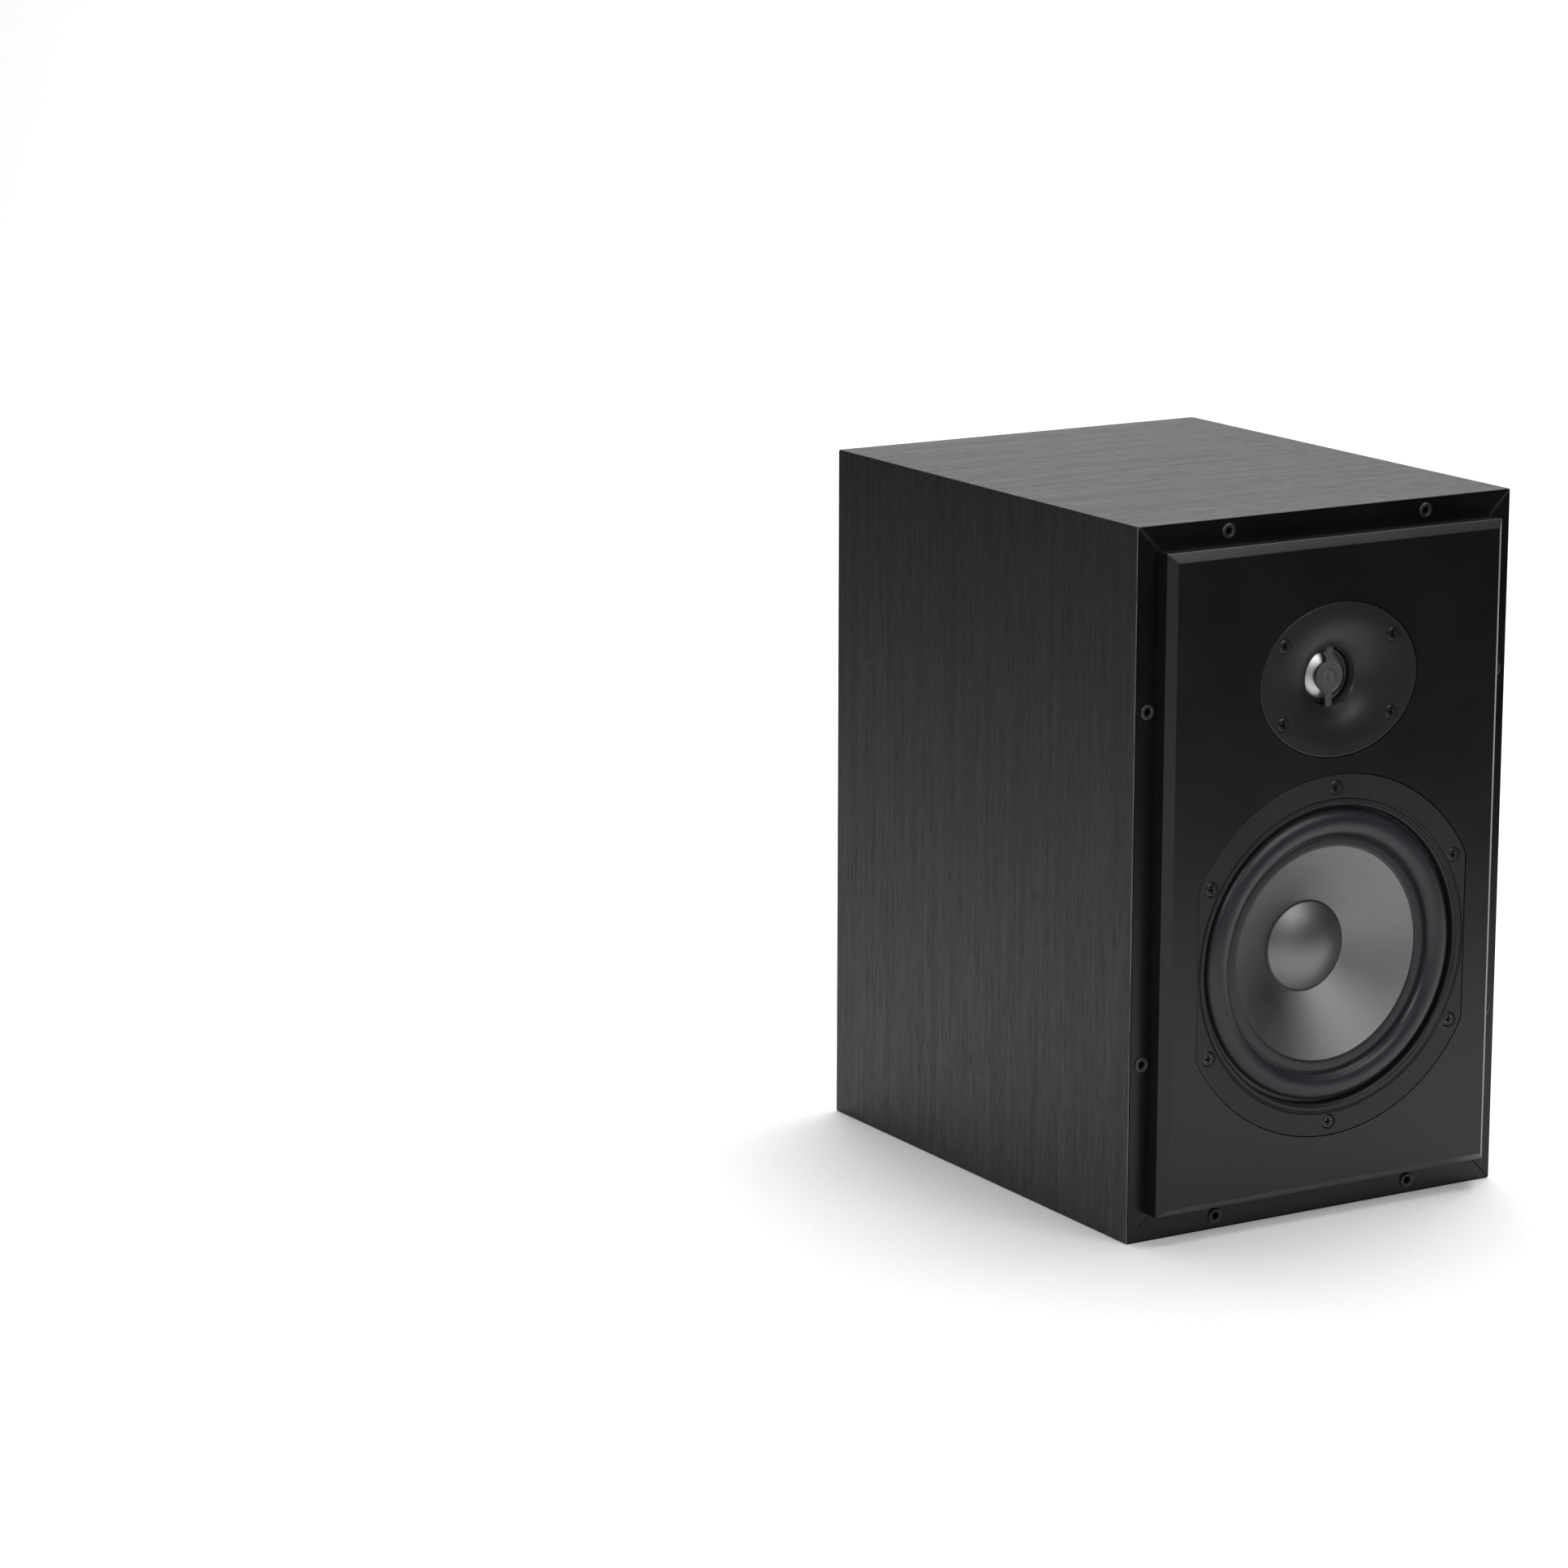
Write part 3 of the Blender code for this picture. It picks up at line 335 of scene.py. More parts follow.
def make_finishes():
    """One procedural material for each slot, and four more: the vinyl across for the top and bottom walls,
    lighter in tone than the upright vinyl, whose darker tone is painted shade on the sides; a painted
    highlight for the left wall's rim; lands; and the bridge.
    """
    return {
        # The upright vinyl, on the side walls and the back board, is painted darker than the vinyl across the
        # top and bottom: painted shade on the sides.
        "black_vinyl": vinyl("ash_vinyl_upright_painted_shade", grain_axis=2, tone=0.60),
        "vinyl_across": vinyl("ash_vinyl_across", grain_axis=0, tone=0.92),
        # A much lighter copy of the upright vinyl: a painted highlight for the left wall's softened front rim.
        "vinyl_worn": vinyl("ash_vinyl_painted_highlight", grain_axis=2, tone=7.0),
        "black_paint": satin("satin_black_lacquer", (0.0030, 0.0030, 0.0032), (0.0055, 0.0055, 0.0058),
                             roughness=(0.30, 0.36), per_metre=1500, bump=0.10, specular=0.40),
        "edge_black": satin("edge_black", (0.0016, 0.0016, 0.0018), (0.0042, 0.0042, 0.0046),
                            roughness=(0.28, 0.36), per_metre=900, bump=0.25, specular=0.34),
        "bridge_grey": satin("bridge_grey", (0.05, 0.05, 0.05), (0.075, 0.075, 0.075),
                             roughness=(0.34, 0.42), per_metre=2600, bump=0.10),
        "socket_plastic": satin("socket_plastic", (0.012, 0.012, 0.013), (0.020, 0.020, 0.022),
                                per_metre=2500),
        "frame_black": satin("cast_frame_black", (0.0065, 0.0065, 0.0070), (0.0105, 0.0105, 0.0112),
                             roughness=(0.42, 0.54), per_metre=2600, bump=0.22, specular=0.38),
        "plate_black": satin("plate_black", (0.0105, 0.0105, 0.0110), (0.0150, 0.0150, 0.0158),
                             roughness=(0.38, 0.46), per_metre=3200, bump=0.10, specular=0.32),
        "moulded_black": satin("moulded_black", (0.010, 0.010, 0.011), (0.018, 0.018, 0.020),
                               roughness=(0.42, 0.58), per_metre=1900, bump=0.30, depth=0.0001),
        "rubber_black": satin("surround_rubber", (0.013, 0.014, 0.017), (0.020, 0.021, 0.025),
                              roughness=(0.32, 0.42), per_metre=1300, bump=0.10, specular=0.42),
        "screw_black": satin("blackened_steel", (0.010, 0.010, 0.011), (0.022, 0.022, 0.024),
                             roughness=(0.24, 0.36), per_metre=3000, metallic=0.3, specular=0.6),
        "zinc_steel": satin("zinc_plated_steel", (0.42, 0.42, 0.40), (0.58, 0.58, 0.56),
                            roughness=(0.30, 0.46), per_metre=700, metallic=1.0),
        "ferrite": satin("ferrite", (0.040, 0.040, 0.042), (0.070, 0.070, 0.074),
                         roughness=(0.62, 0.80), per_metre=1600, bump=0.35, depth=0.0001),
        "post_metal": satin("gold_plate", (0.66, 0.47, 0.19), (0.80, 0.60, 0.28),
                            roughness=(0.20, 0.30), per_metre=1200, metallic=1.0),
        "post_red": satin("knob_red", (0.33, 0.010, 0.010), (0.44, 0.016, 0.014), (0.26, 0.34)),
        "post_black": satin("knob_black", (0.010, 0.010, 0.010), (0.016, 0.016, 0.016), (0.26, 0.34)),
        "film_yellow": satin("film_yellow", (0.62, 0.40, 0.05), (0.74, 0.50, 0.09), (0.30, 0.42)),
        "cable_grey": satin("cable_grey", (0.22, 0.22, 0.23), (0.30, 0.30, 0.31), (0.45, 0.6)),
        "board_green": satin("board_green", (0.016, 0.085, 0.036), (0.026, 0.13, 0.055), (0.3, 0.5)),
        "cone_metal": spun_metal("spun_cone", WOOFER, (0.175, 0.181, 0.178), (0.215, 0.222, 0.218),
                                 roughness=0.46, anisotropy=0.50),
        "cap_metal": spun_metal("spun_cap", WOOFER, (0.180, 0.186, 0.184), (0.220, 0.227, 0.224),
                                roughness=0.46, anisotropy=0.10),
        "dome_metal": spun_metal("dome_metal", TWEETER, (0.50, 0.51, 0.51), (0.60, 0.61, 0.61),
                                 roughness=0.40, anisotropy=0.10),
        "coil_copper": wound("coil_copper", (0.72, 0.36, 0.18), turns_per_metre=2400),
        "spider_cloth": woven("spider_cloth", (0.36, 0.22, 0.07), (0.62, 0.42, 0.16)),
        "felt_grey": felt("felt_grey", (0.07, 0.07, 0.075), (0.16, 0.16, 0.17)),
        "bare_board": fibreboard("bare_board"),
    }


# -------- geometry building blocks

def rounded(points, steps=4, closed=True):
    """Round the corners of a polyline whose points carry a third number, the rounding radius."""
    nearly_straight = math.radians(88)
    most_of_edge = 0.48
    result = []
    count = len(points)
    for i, point in enumerate(points):
        here = Vector(point[:2])
        radius = point[2] if len(point) > 2 else 0
        inside = closed or 0 < i < count - 1
        if not radius or not inside:
            result.append(here)
            continue
        back = Vector(points[i - 1][:2]) - here
        ahead = Vector(points[(i + 1) % count][:2]) - here
        half = back.angle(ahead) / 2
        if half > nearly_straight:
            result.append(here)
            continue
        reach = min(radius / math.tan(half), most_of_edge * back.length, most_of_edge * ahead.length)
        start = here + back.normalized() * reach
        end = here + ahead.normalized() * reach
        for step in range(steps + 1):
            t = step / steps
            result.append(start * (1 - t) ** 2 + here * (2 * t * (1 - t)) + end * t * t)
    return [tuple(point) for point in result]


def curve_through(points):
    """A Catmull-Rom curve through points with any number of coordinates."""
    steps = 5
    spots = [Vector(point) for point in points]
    result = []
    for i in range(len(spots) - 1):
        before = spots[max(i - 1, 0)]
        start, end = spots[i], spots[i + 1]
        after = spots[min(i + 2, len(spots) - 1)]
        for step in range(steps):
            t = step / steps
            bend = 2 * before - 5 * start + 4 * end - after
            twist = 3 * start - 3 * end + after - before
            result.append(0.5 * (2 * start + (end - before) * t + bend * t * t + twist * t ** 3))
    result.append(spots[-1])
    return [tuple(point) for point in result]


def linked(name, data):
    """A new object in the scene around its data."""
    item = bpy.data.objects.new(name, data)
    bpy.context.scene.collection.objects.link(item)
    return item


def mesh_from(name, shape):
    mesh = bpy.data.meshes.new(name)
    shape.to_mesh(mesh)
    shape.free()
    return mesh


def smooth(mesh, sharp):
    """Shade a mesh smooth, apart from edges sharper than so many degrees."""
    mesh.shade_smooth()
    mesh.set_sharp_from_angle(angle=math.radians(sharp))


def finished(name, shape, material, sharp=SHARP):
    """Turn a bmesh into an object with outward faces, smooth apart from its sharp edges."""
    merge = 1e-7
    bmesh.ops.remove_doubles(shape, verts=shape.verts, dist=merge)
    bmesh.ops.recalc_face_normals(shape, faces=shape.faces)
    mesh = mesh_from(name, shape)
    mesh.materials.append(material)
    smooth(mesh, sharp)
    return linked(name, mesh)


def skinned(rings, capped=False, looped=False):
    """A bmesh skin over rings of equally many points."""
    shape = bmesh.new()
    loops = [[shape.verts.new(point) for point in ring] for ring in rings]
    count = len(loops[0])
    pairs = list(zip(loops, loops[1:]))
    if looped:
        pairs.append((loops[-1], loops[0]))
    for first, second in pairs:
        for i in range(count):
            j = (i + 1) % count
            shape.faces.new((first[i], first[j], second[j], second[i]))
    if capped:
        shape.faces.new(loops[0])
        shape.faces.new(loops[-1])
    return shape


def turned_shape(profile, origin, facing=FRONT, segments=FINE, steps=4, limit=None):
    """Turn a (radius, depth) profile in millimetres about the Y axis through an origin."""
    points = rounded(profile, steps, closed=profile[0][0] > 0)
    angles = [math.tau * step / segments for step in range(segments)]
    shape = bmesh.new()
    loops = []
    for radius, depth in points:
        y = origin.y + facing * depth * MM
        if radius <= 0:
            loops.append([shape.verts.new((origin.x, y, origin.z))])
            continue
        loop = []
        for angle in angles:
            reach = (limit(radius, angle) if limit else radius) * MM
            spot = (origin.x + reach * math.cos(angle), y, origin.z + reach * math.sin(angle))
            loop.append(shape.verts.new(spot))
        loops.append(loop)
    pairs = list(zip(loops, loops[1:]))
    if profile[0][0] > 0:
        pairs.append((loops[-1], loops[0]))
    for first, second in pairs:
        for i in range(segments):
            j = (i + 1) % segments
            near = [first[i % len(first)], first[j % len(first)]]
            far = [second[j % len(second)], second[i % len(second)]]
            unique = list(dict.fromkeys(near + far))
            if len(unique) > 2:
                shape.faces.new(unique)
    return shape


def turned(name, profile, origin, material, sharp=SHARP, **turning):
    """An object turned about the Y axis through an origin."""
    return finished(name, turned_shape(profile, origin, **turning), material, sharp)


def cylinder(radius, origin, end=BEYOND, facing=FRONT, segments=FINE, limit=None):
    """A plain cutter along Y, from in front of a surface to a depth in millimetres."""
    profile = [(0, BEFORE), (radius, BEFORE), (radius, end), (0, end)]
    return turned_shape(profile, origin, facing, segments, limit=limit)


def screw_bores(prefix, surface_y, facing=FRONT):
    """Countersinks and pilot holes for one set of screws, a little larger than the screws."""
    head, head_end, pilot, pilot_start, end = 4.85, 0.75, 2.3, 3.3, 21.5
    profile = [(0, BEFORE), (head, BEFORE), (head, head_end), (pilot, pilot_start), (pilot, end), (0, end)]
    spots = [on_plane(node, surface_y) for node in nodes_named(f"{prefix}_screw_")]
    return [turned_shape(profile, spot, facing, COARSE) for spot in spots]


def combine(item, shapes, operation="DIFFERENCE"):
    """Cut shapes out of an item, or add them to it, and keep the faces of the result flat."""
    tools = []
    for shape in shapes:
        bmesh.ops.recalc_face_normals(shape, faces=shape.faces)
        tool = linked("tool", mesh_from("tool", shape))
        tools.append(tool)
        modifier = item.modifiers.new("combine", "BOOLEAN")
        modifier.operation = operation
        modifier.solver = "EXACT"
        modifier.object = tool
    seen = item.evaluated_get(bpy.context.evaluated_depsgraph_get())
    item.data = bpy.data.meshes.new_from_object(seen)
    item.modifiers.clear()
    smooth(item.data, SHARP)
    flatten = item.modifiers.new("flat_faces_shade_flat", "WEIGHTED_NORMAL")
    flatten.keep_sharp = True
    flatten.weight = 100
    for tool in tools:
        mesh = tool.data
        bpy.data.objects.remove(tool)
        bpy.data.meshes.remove(mesh)


def place(item, body, slot, *nodes):
    """Let a piece ride on a body and stand for CAD nodes, which are hidden. The slot argument is not used."""
    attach(item, body)
    if nodes:
        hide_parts(*nodes)


def place_turned(looks, name, profile, origin, body, slot, *nodes, **turning):
    """Turn a piece, give it the finish of its slot and place it."""
    place(turned(name, profile, origin, looks[slot], **turning), body, slot, *nodes)


def rectangle(centre, half_x, half_z, y):
    """A ring of four points at one place along Y."""
    return [(centre.x + sx * half_x, y, centre.z + sz * half_z) for sx, sz in CORNERS]


def half_roll(middle, reach, rise, floor, steps, fullness=1.0):
    """The section of a roll that bulges forwards, from its outer to its inner foot."""
    line = []
    for step in range(steps + 1):
        angle = math.pi * step / steps
        line.append((middle + reach * math.cos(angle), floor - rise * math.sin(angle) ** fullness))
    return line


# -------- cabinet

def inset(outline, amount):
    """Move each corner of an anticlockwise outline inwards by the same distance from its edges."""
    least_share = 0.3
    result = []
    count = len(outline)
    for i in range(count):
        here = Vector(outline[i])
        before = (here - Vector(outline[i - 1])).normalized()
        after = (Vector(outline[(i + 1) % count]) - here).normalized()
        inward = Vector((-before.y, before.x))
        normal = (inward + Vector((-after.y, after.x))).normalized()
        share = max(abs(normal.dot(inward)), least_share)
        result.append(tuple(here + normal * amount / share))
    return result


def wall_outline(side):
    """The mitred end view of a wall. Its outer corners are half of the cabinet's rounded edges."""
    radius = 0.7 * MM
    joint = 0.05 * MM
    steps = 3
    outer = HALF_WIDTH if side in ("left", "right") else HEIGHT / 2
    half = HEIGHT / 2 if side in ("left", "right") else HALF_WIDTH
    right_half = [(half - WALL - joint, outer - WALL)]
    for step in range(steps + 1):
        angle = math.radians(45 - 45 * step / steps)
        across = half - radius + radius * math.sin(angle)
        right_half.append((across - joint, outer - radius + radius * math.cos(angle)))
    return right_half + [(-x, y) for x, y in reversed(right_half)]


def wall_rings(side, upright, sideways, softness):
    """Rings along a wall whose front and back rims are softened in two steps."""
    outline = wall_outline(side)
    part = 0.3 * softness
    spec = [
        (EDGE_Y, softness), (EDGE_Y + part, part), (EDGE_Y + softness, 0),
        (BACK_Y - softness, 0), (BACK_Y - part, part), (BACK_Y, softness),
    ]
    rings = []
    for y, amount in spec:
        ring = []
        for along, out in inset(outline, amount) if amount else outline:
            x = sideways * out if sideways else along
            z = HEIGHT / 2 + (upright * out if upright else along)
            ring.append((x, y, z))
        rings.append(ring)
    return rings


def socket_bores(side):
    """Bores for the sockets of one wall. The corner sockets belong to the top and bottom walls."""
    bore, bottom = 3.9, 11
    cutters = []
    for socket in nodes_named("grille_socket_"):
        row, column = socket.removeprefix("grille_socket_").split("_")
        if side in (row, column) and not (side in ("left", "right") and row in ("top", "bottom")):
            cutters.append(cylinder(bore, on_plane(socket, EDGE_Y), bottom, segments=COARSE))
    return cutters


def finish_front_edge(wall, side, softness, looks):
    """A wall's front edge is smooth black, and the left wall's softened outer rim carries a painted highlight,
    a much lighter copy of the vinyl.
    """
    facing_front, facing_left = -0.98, -0.3
    own, edge, painted_highlight = 0, 1, 2
    wall.data.materials.append(looks["edge_black"])
    wall.data.materials.append(looks["vinyl_worn"])
    for face in wall.data.polygons:
        if face.center.y >= EDGE_Y + softness:
            continue
        if face.normal.y < facing_front:
            face.material_index = edge
        # Painted highlight: only the left wall's outer rim gets the much lighter vinyl.
        elif side == "left" and face.normal.x < facing_left:
            face.material_index = painted_highlight
        else:
            face.material_index = own


def make_walls(looks):
    """Four mitred walls wrapped in vinyl, bored in their front edges for the grille sockets."""
    turns = {"top": (1, 0), "bottom": (-1, 0), "left": (0, -1), "right": (0, 1)}
    softness = 0.8 * MM
    for side, (upright, sideways) in turns.items():
        # The side walls take the darker upright vinyl, whose lower tone is painted shade. The top and bottom
        # take the lighter vinyl across.
        grain = "black_vinyl" if sideways else "vinyl_across"
        shape = skinned(wall_rings(side, upright, sideways, softness), capped=True)
        wall = finished(f"{side}_wall", shape, looks[grain])
        combine(wall, socket_bores(side))
        finish_front_edge(wall, side, softness, looks)
        place(wall, "cabinet", "black_vinyl", f"{side}_panel")


def make_sockets(looks):
    """Push-in cups for the grille pegs, each with a rounded collar that stands off the edge."""
    profile = [
        (0, 8.5), (2.15, 8.5, 0.3), (2.2, -0.7, 0.35), (3.0, -1.4, 0.5), (4.2, -1.3, 0.6), (4.8, -0.6, 0.3),
        (4.8, -0.3, 0.1), (3.5, -0.3), (3.5, 10, 0.4), (0, 10),
    ]
    for node in nodes_named("grille_socket_"):
        name = node.replace("grille_socket", "peg_socket")
        place_turned(looks, name, profile, on_plane(node, EDGE_Y), "cabinet", "socket_plastic", node,
                     segments=SMALL)


def board_rings(low, high, softness):
    """Rings for a board along Y whose front and back rims are softened."""
    centre = (low + high) / 2
    half = (high - low) / 2
    spec = ((low.y, softness), (low.y + softness, 0), (high.y - softness, 0), (high.y, softness))
    return [rectangle(centre, half.x - cut, half.z - cut, y) for y, cut in spec]


def make_rear_board(looks):
    """The back board, bored for the port, the dish and the dish's screws."""
    softness = 0.4 * MM
    port_hole = 42
    dish_x, dish_z = 46.8 * MM, 29.8 * MM
    rings = board_rings(*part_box("back_panel"), softness)
    # The back board takes the darker upright vinyl, whose lower tone is painted shade.
    board = finished("rear_board", skinned(rings, capped=True), looks["black_vinyl"])
    pocket = [rectangle(CUP, dish_x, dish_z, CUP.y + REAR * depth * MM) for depth in (BEFORE, BEYOND)]
    cutters = [cylinder(port_hole, PORT, facing=REAR), skinned(pocket, capped=True)]
    combine(board, cutters + screw_bores("cup", CUP.y, REAR))
    place(board, "cabinet", "black_vinyl", "back_panel")


def oval(radius_x, radius_z, origin, depth):
    """A ring of points round an ellipse, at a depth in millimetres behind the baffle's face."""
    ring = []
    for step in range(FINE):
        angle = math.tau * step / FINE
        x = origin.x + radius_x * MM * math.cos(angle)
        z = origin.z + radius_z * MM * math.sin(angle)
        ring.append((x, origin.y + depth * MM, z))
    return ring


def woofer_edge(radius, angle, extra=0.0):
    """The flange follows its circle but is cut flat on its left and right sides."""
    if radius < FLATS_BEGIN_R:
        return radius
    flat = (WOOFER_FLAT_X + extra) / max(abs(math.cos(angle)), 1e-6)
    edge = WOOFER_FRAME_R + extra
    return max(min(radius, flat - (edge - radius)), FLATS_BEGIN_R) if flat < edge else radius


def baffle_rings():
    """Rings of the slab, from its face over the 45 degree bevel to the step, and then of its plug."""
    low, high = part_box("front_baffle")
    side_land, top_land, bottom_land = 13.7 * MM, 15.5 * MM, 17.0 * MM
    bevel = 5 * MM
    soft = 0.45 * MM
    chamfer = 0.2 * MM
    step_y = EDGE_Y - GAP
    foot_y = low.y + bevel
    centre = Vector((0, 0, (HEIGHT - top_land + bottom_land) / 2))
    half_x = HALF_WIDTH - side_land
    half_z = (HEIGHT - top_land - bottom_land) / 2
    slab = [
        (low.y, bevel + soft), (low.y + 0.12 * soft, bevel + 0.35 * soft),
        (low.y + 0.55 * soft, bevel - 0.45 * soft), (foot_y - 0.5 * soft, 0.5 * soft),
        (foot_y - 0.1 * soft, 0.14 * soft), (foot_y + 0.6 * soft, 0),
        (step_y - chamfer, 0), (step_y, chamfer),
    ]
    rings = [rectangle(centre, half_x - cut, half_z - cut, y) for y, cut in slab]
    plug = (high - low) / 2
    rings += [rectangle((low + high) / 2, plug.x, plug.z, y) for y in (step_y, high.y)]
    return rings


def make_baffle(looks):
    """The raised slab with 45 degree edges, its plug, and the seats for both drive units."""
    clearance = 0.4
    woofer_seat, plate_seat = 4.5, 4.3
    woofer_hole, tweeter_hole = 94, 36.6

    def with_flats(radius, angle):
        return woofer_edge(radius, angle, clearance)

    plate_x, plate_z = PLATE_X + clearance, PLATE_Z + clearance
    plate_rings = [oval(plate_x, plate_z, TWEETER, depth) for depth in (BEFORE, plate_seat)]
    cutters = [
        cylinder(WOOFER_FRAME_R + clearance, WOOFER, woofer_seat, limit=with_flats),
        cylinder(woofer_hole, WOOFER),
        cylinder(tweeter_hole, TWEETER),
        skinned(plate_rings, capped=True),
    ]
    cutters += screw_bores("woofer", FACE_Y) + screw_bores("tweeter", FACE_Y)
    slab = finished("baffle_slab", skinned(baffle_rings(), capped=True), looks["black_paint"])
    combine(slab, cutters)
    place(slab, "cabinet", "black_paint", "front_baffle")


# -------- screws

def make_screws(looks):
    """Countersunk cross-head screws in the drive units and the rear dish."""
    profile = [
        (0, 0.55), (3.4, 0.60, 0.6), (4.35, 1.05, 0.25), (1.9, 3.5, 0.4), (1.9, 18.5, 0.5), (0.2, 20.5),
        (0, 20.5),
    ]
    dish_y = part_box("terminal_cup")[1].y
    surfaces = {"woofer": (FACE_Y, FRONT), "tweeter": (FACE_Y, FRONT), "cup": (dish_y, REAR)}
    for prefix, (surface, facing) in surfaces.items():
        for node in nodes_named(f"{prefix}_screw_"):
            spot = on_plane(node, surface)
            name = node.replace("screw", "cross_screw")
            screw = turned(name, profile, spot, looks["screw_black"], facing=facing, segments=SMALL)
            combine(screw, cross_recess(spot, facing))
            place(screw, "cabinet", "screw_black", node)


def cross_recess(spot, facing):
    """Two crossed wedges that narrow towards the bottom of the recess."""
    blades = []
    for long_x in (True, False):
        rings = []
        for depth, reach, half in ((-0.6, 2.7, 0.75), (0.6, 2.5, 0.65), (2.6, 0.9, 0.35)):
            x, z = (reach * MM, half * MM) if long_x else (half * MM, reach * MM)
            rings.append(rectangle(spot, x, z, spot.y + facing * depth * MM))
        blades.append(skinned(rings, capped=True))
    return blades


# -------- woofer

def frame_window(degrees):
    """A cutter that opens the side of the cast frame between two spokes."""
    top, bottom = 14, 37
    angle = math.radians(degrees)
    rings = []
    for radius, half in ((64, 25), (72, 27), (104, 27)):
        ring = []
        for along, depth in ((-half, top), (half, top), (half, bottom), (-half, bottom)):
            x = radius * math.cos(angle) - along * math.sin(angle)
            z = radius * math.sin(angle) + along * math.cos(angle)
            ring.append((WOOFER.x + x * MM, FACE_Y + depth * MM, WOOFER.z + z * MM))
        rings.append(ring)
    return skinned(rings, capped=True)


def make_frame_casting(looks):
    """The cast frame: flange with its raised rim, pot, six spokes, spider ledge and motor seat."""
    windows = 6
    flange = [
        (110.2, 0.0, 0.5), (97.4, 0.0, 0.3), (96.8, 1.3, 0.3), (95.7, 1.5, 0.3), (95.2, 0.6, 0.3),
        (93.2, 0.5, 0.4), (92.5, 1.7, 0.3), (91.4, 2.5, 0.5), (91.2, 7.6, 0.3),
    ]
    inside = [
        (85.0, 7.6, 1.0), (68.0, 40.0, 1.0), (68.0, 43.0, 0.5), (58.0, 43.0, 1.0), (46.0, 57.0, 1.0),
        (30.0, 57.0, 0.4),
    ]
    outside = [
        (30.0, 59.0, 0.3), (47.5, 59.0, 1.0), (60.0, 45.4, 1.0), (70.0, 45.4, 0.8), (70.5, 41.0, 0.8),
        (87.5, 10.0, 1.0), (93.2, 10.0, 0.8), (93.2, 4.2, 0.3), (WOOFER_FRAME_R, 4.2, 0.3),
        (WOOFER_FRAME_R, 0.4, 0.3),
    ]
    casting = turned("frame_casting", flange + inside + outside, WOOFER, looks["frame_black"],
                     limit=woofer_edge)
    cutters = [frame_window(step * 360 / windows) for step in range(windows)]
    combine(casting, screw_bores("woofer", FACE_Y) + cutters)
    place(casting, "cabinet", "frame_black", "woofer_frame")


def offset_sheet(line, thickness):
    """Close a (radius, depth) line into a thin section by adding it again, a thickness deeper."""
    return list(line) + [(radius, depth + thickness) for radius, depth in reversed(line)]


def flexible_ring(item, child, origin, inner, outer, node):
    """A ring that bends: it follows the moving body at its inner radius and the cabinet at its outer."""
    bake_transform(item, "cabinet", child, start=tuple(origin + Vector((outer * MM, 0, 0))), end=tuple(origin))
    weights = item.data.attributes["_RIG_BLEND"].data
    for vertex, weight in zip(item.data.vertices, weights):
        radius = math.hypot(vertex.co.x - origin.x, vertex.co.z - origin.z) / MM
        t = min(max((outer - radius) / (outer - inner), 0.0), 1.0)
        weight.value = t * t * (3 - 2 * t)
    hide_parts(node)


def make_surround(looks):
    """The rubber half roll between the frame and the cone, with a bead along each foot."""
    middle, reach, rise, floor = 81.0, 7.8, 5.8, 6.2
    thickness = 0.75
    bead = [
        (72.6, 6.25), (72.0, 5.95), (71.4, 5.70), (70.0, 5.66), (67.2, 5.72), (65.9, 5.80), (65.4, 6.10),
    ]
    arch = half_roll(middle, reach, rise, floor, steps=22, fullness=0.92)
    line = [(90.8, 6.4), (89.6, 6.35)] + arch + bead
    roll = turned("rubber_surround", offset_sheet(line, thickness), WOOFER, looks["rubber_black"], SOFT)
    flexible_ring(roll, "woofer_moving", WOOFER, middle - reach, middle + reach,
                  "woofer_surround")


def make_spider(looks):
    """The corrugated disc that centres the coil. It bends inside the ledge that its rim is glued to."""
    inner, outer, level = 19.9, 66.5, 41.4
    start, end, waves, height = 24.0, 58.0, 5, 1.1
    ledge, thickness, steps = 8, 0.6, 60
    line = [(inner, level)]
    for step in range(steps + 1):
        share = step / steps
        line.append((start + (end - start) * share, level - height * math.sin(math.tau * waves * share)))
    line += [(60.0, level + 0.3), (outer, level + 0.4)]
    disc = turned("corrugated_spider", offset_sheet(line, thickness), WOOFER, looks["spider_cloth"], ROLLED)
    flexible_ring(disc, "woofer_moving", WOOFER, inner, outer - ledge, "woofer_spider")


def dome_line(radius, crown, rim):
    """The section of a shallow dome, from its axis to its rim."""
    steps = 14
    rise = rim - crown
    sphere = (radius * radius + rise * rise) / (2 * rise)
    line = []
    for step in range(steps + 1):
        r = radius * step / steps
        line.append((r, crown + sphere - math.sqrt(sphere * sphere - r * r)))
    return line


def make_moving_parts(looks):
    """Cone, dust cap and glue bead, which all travel with the coil."""
    cone = [
        (66.2, 7.3, 0.3), (66.05, 6.75, 0.3), (65.2, 7.35, 0.4), (44.0, 19.50), (19.8, 33.4),
        (19.8, 34.4), (44.0, 20.4), (65.4, 8.2, 0.3), (66.2, 7.9, 0.2),
    ]
    cap_line = dome_line(radius=26.6, crown=19.8, rim=27.9) + [(27.0, 28.15), (27.15, 28.6)]
    cap = offset_sheet(cap_line, thickness=0.5)
    bead = [(27.2, 28.25, 0.3), (28.3, 28.5, 0.4), (28.0, 29.0, 0.2), (26.6, 29.3, 0.2)]
    body = "woofer_moving"
    place_turned(looks, "spun_cone", cone, WOOFER, body, "cone_metal", "woofer_cone",
                 sharp=MILD, segments=2 * FINE)
    place_turned(looks, "domed_cap", cap, WOOFER, body, "cap_metal", "woofer_dust_cap", sharp=SOFT)
    place_turned(looks, "cap_glue_bead", bead, WOOFER, body, "rubber_black")


# -------- tweeter

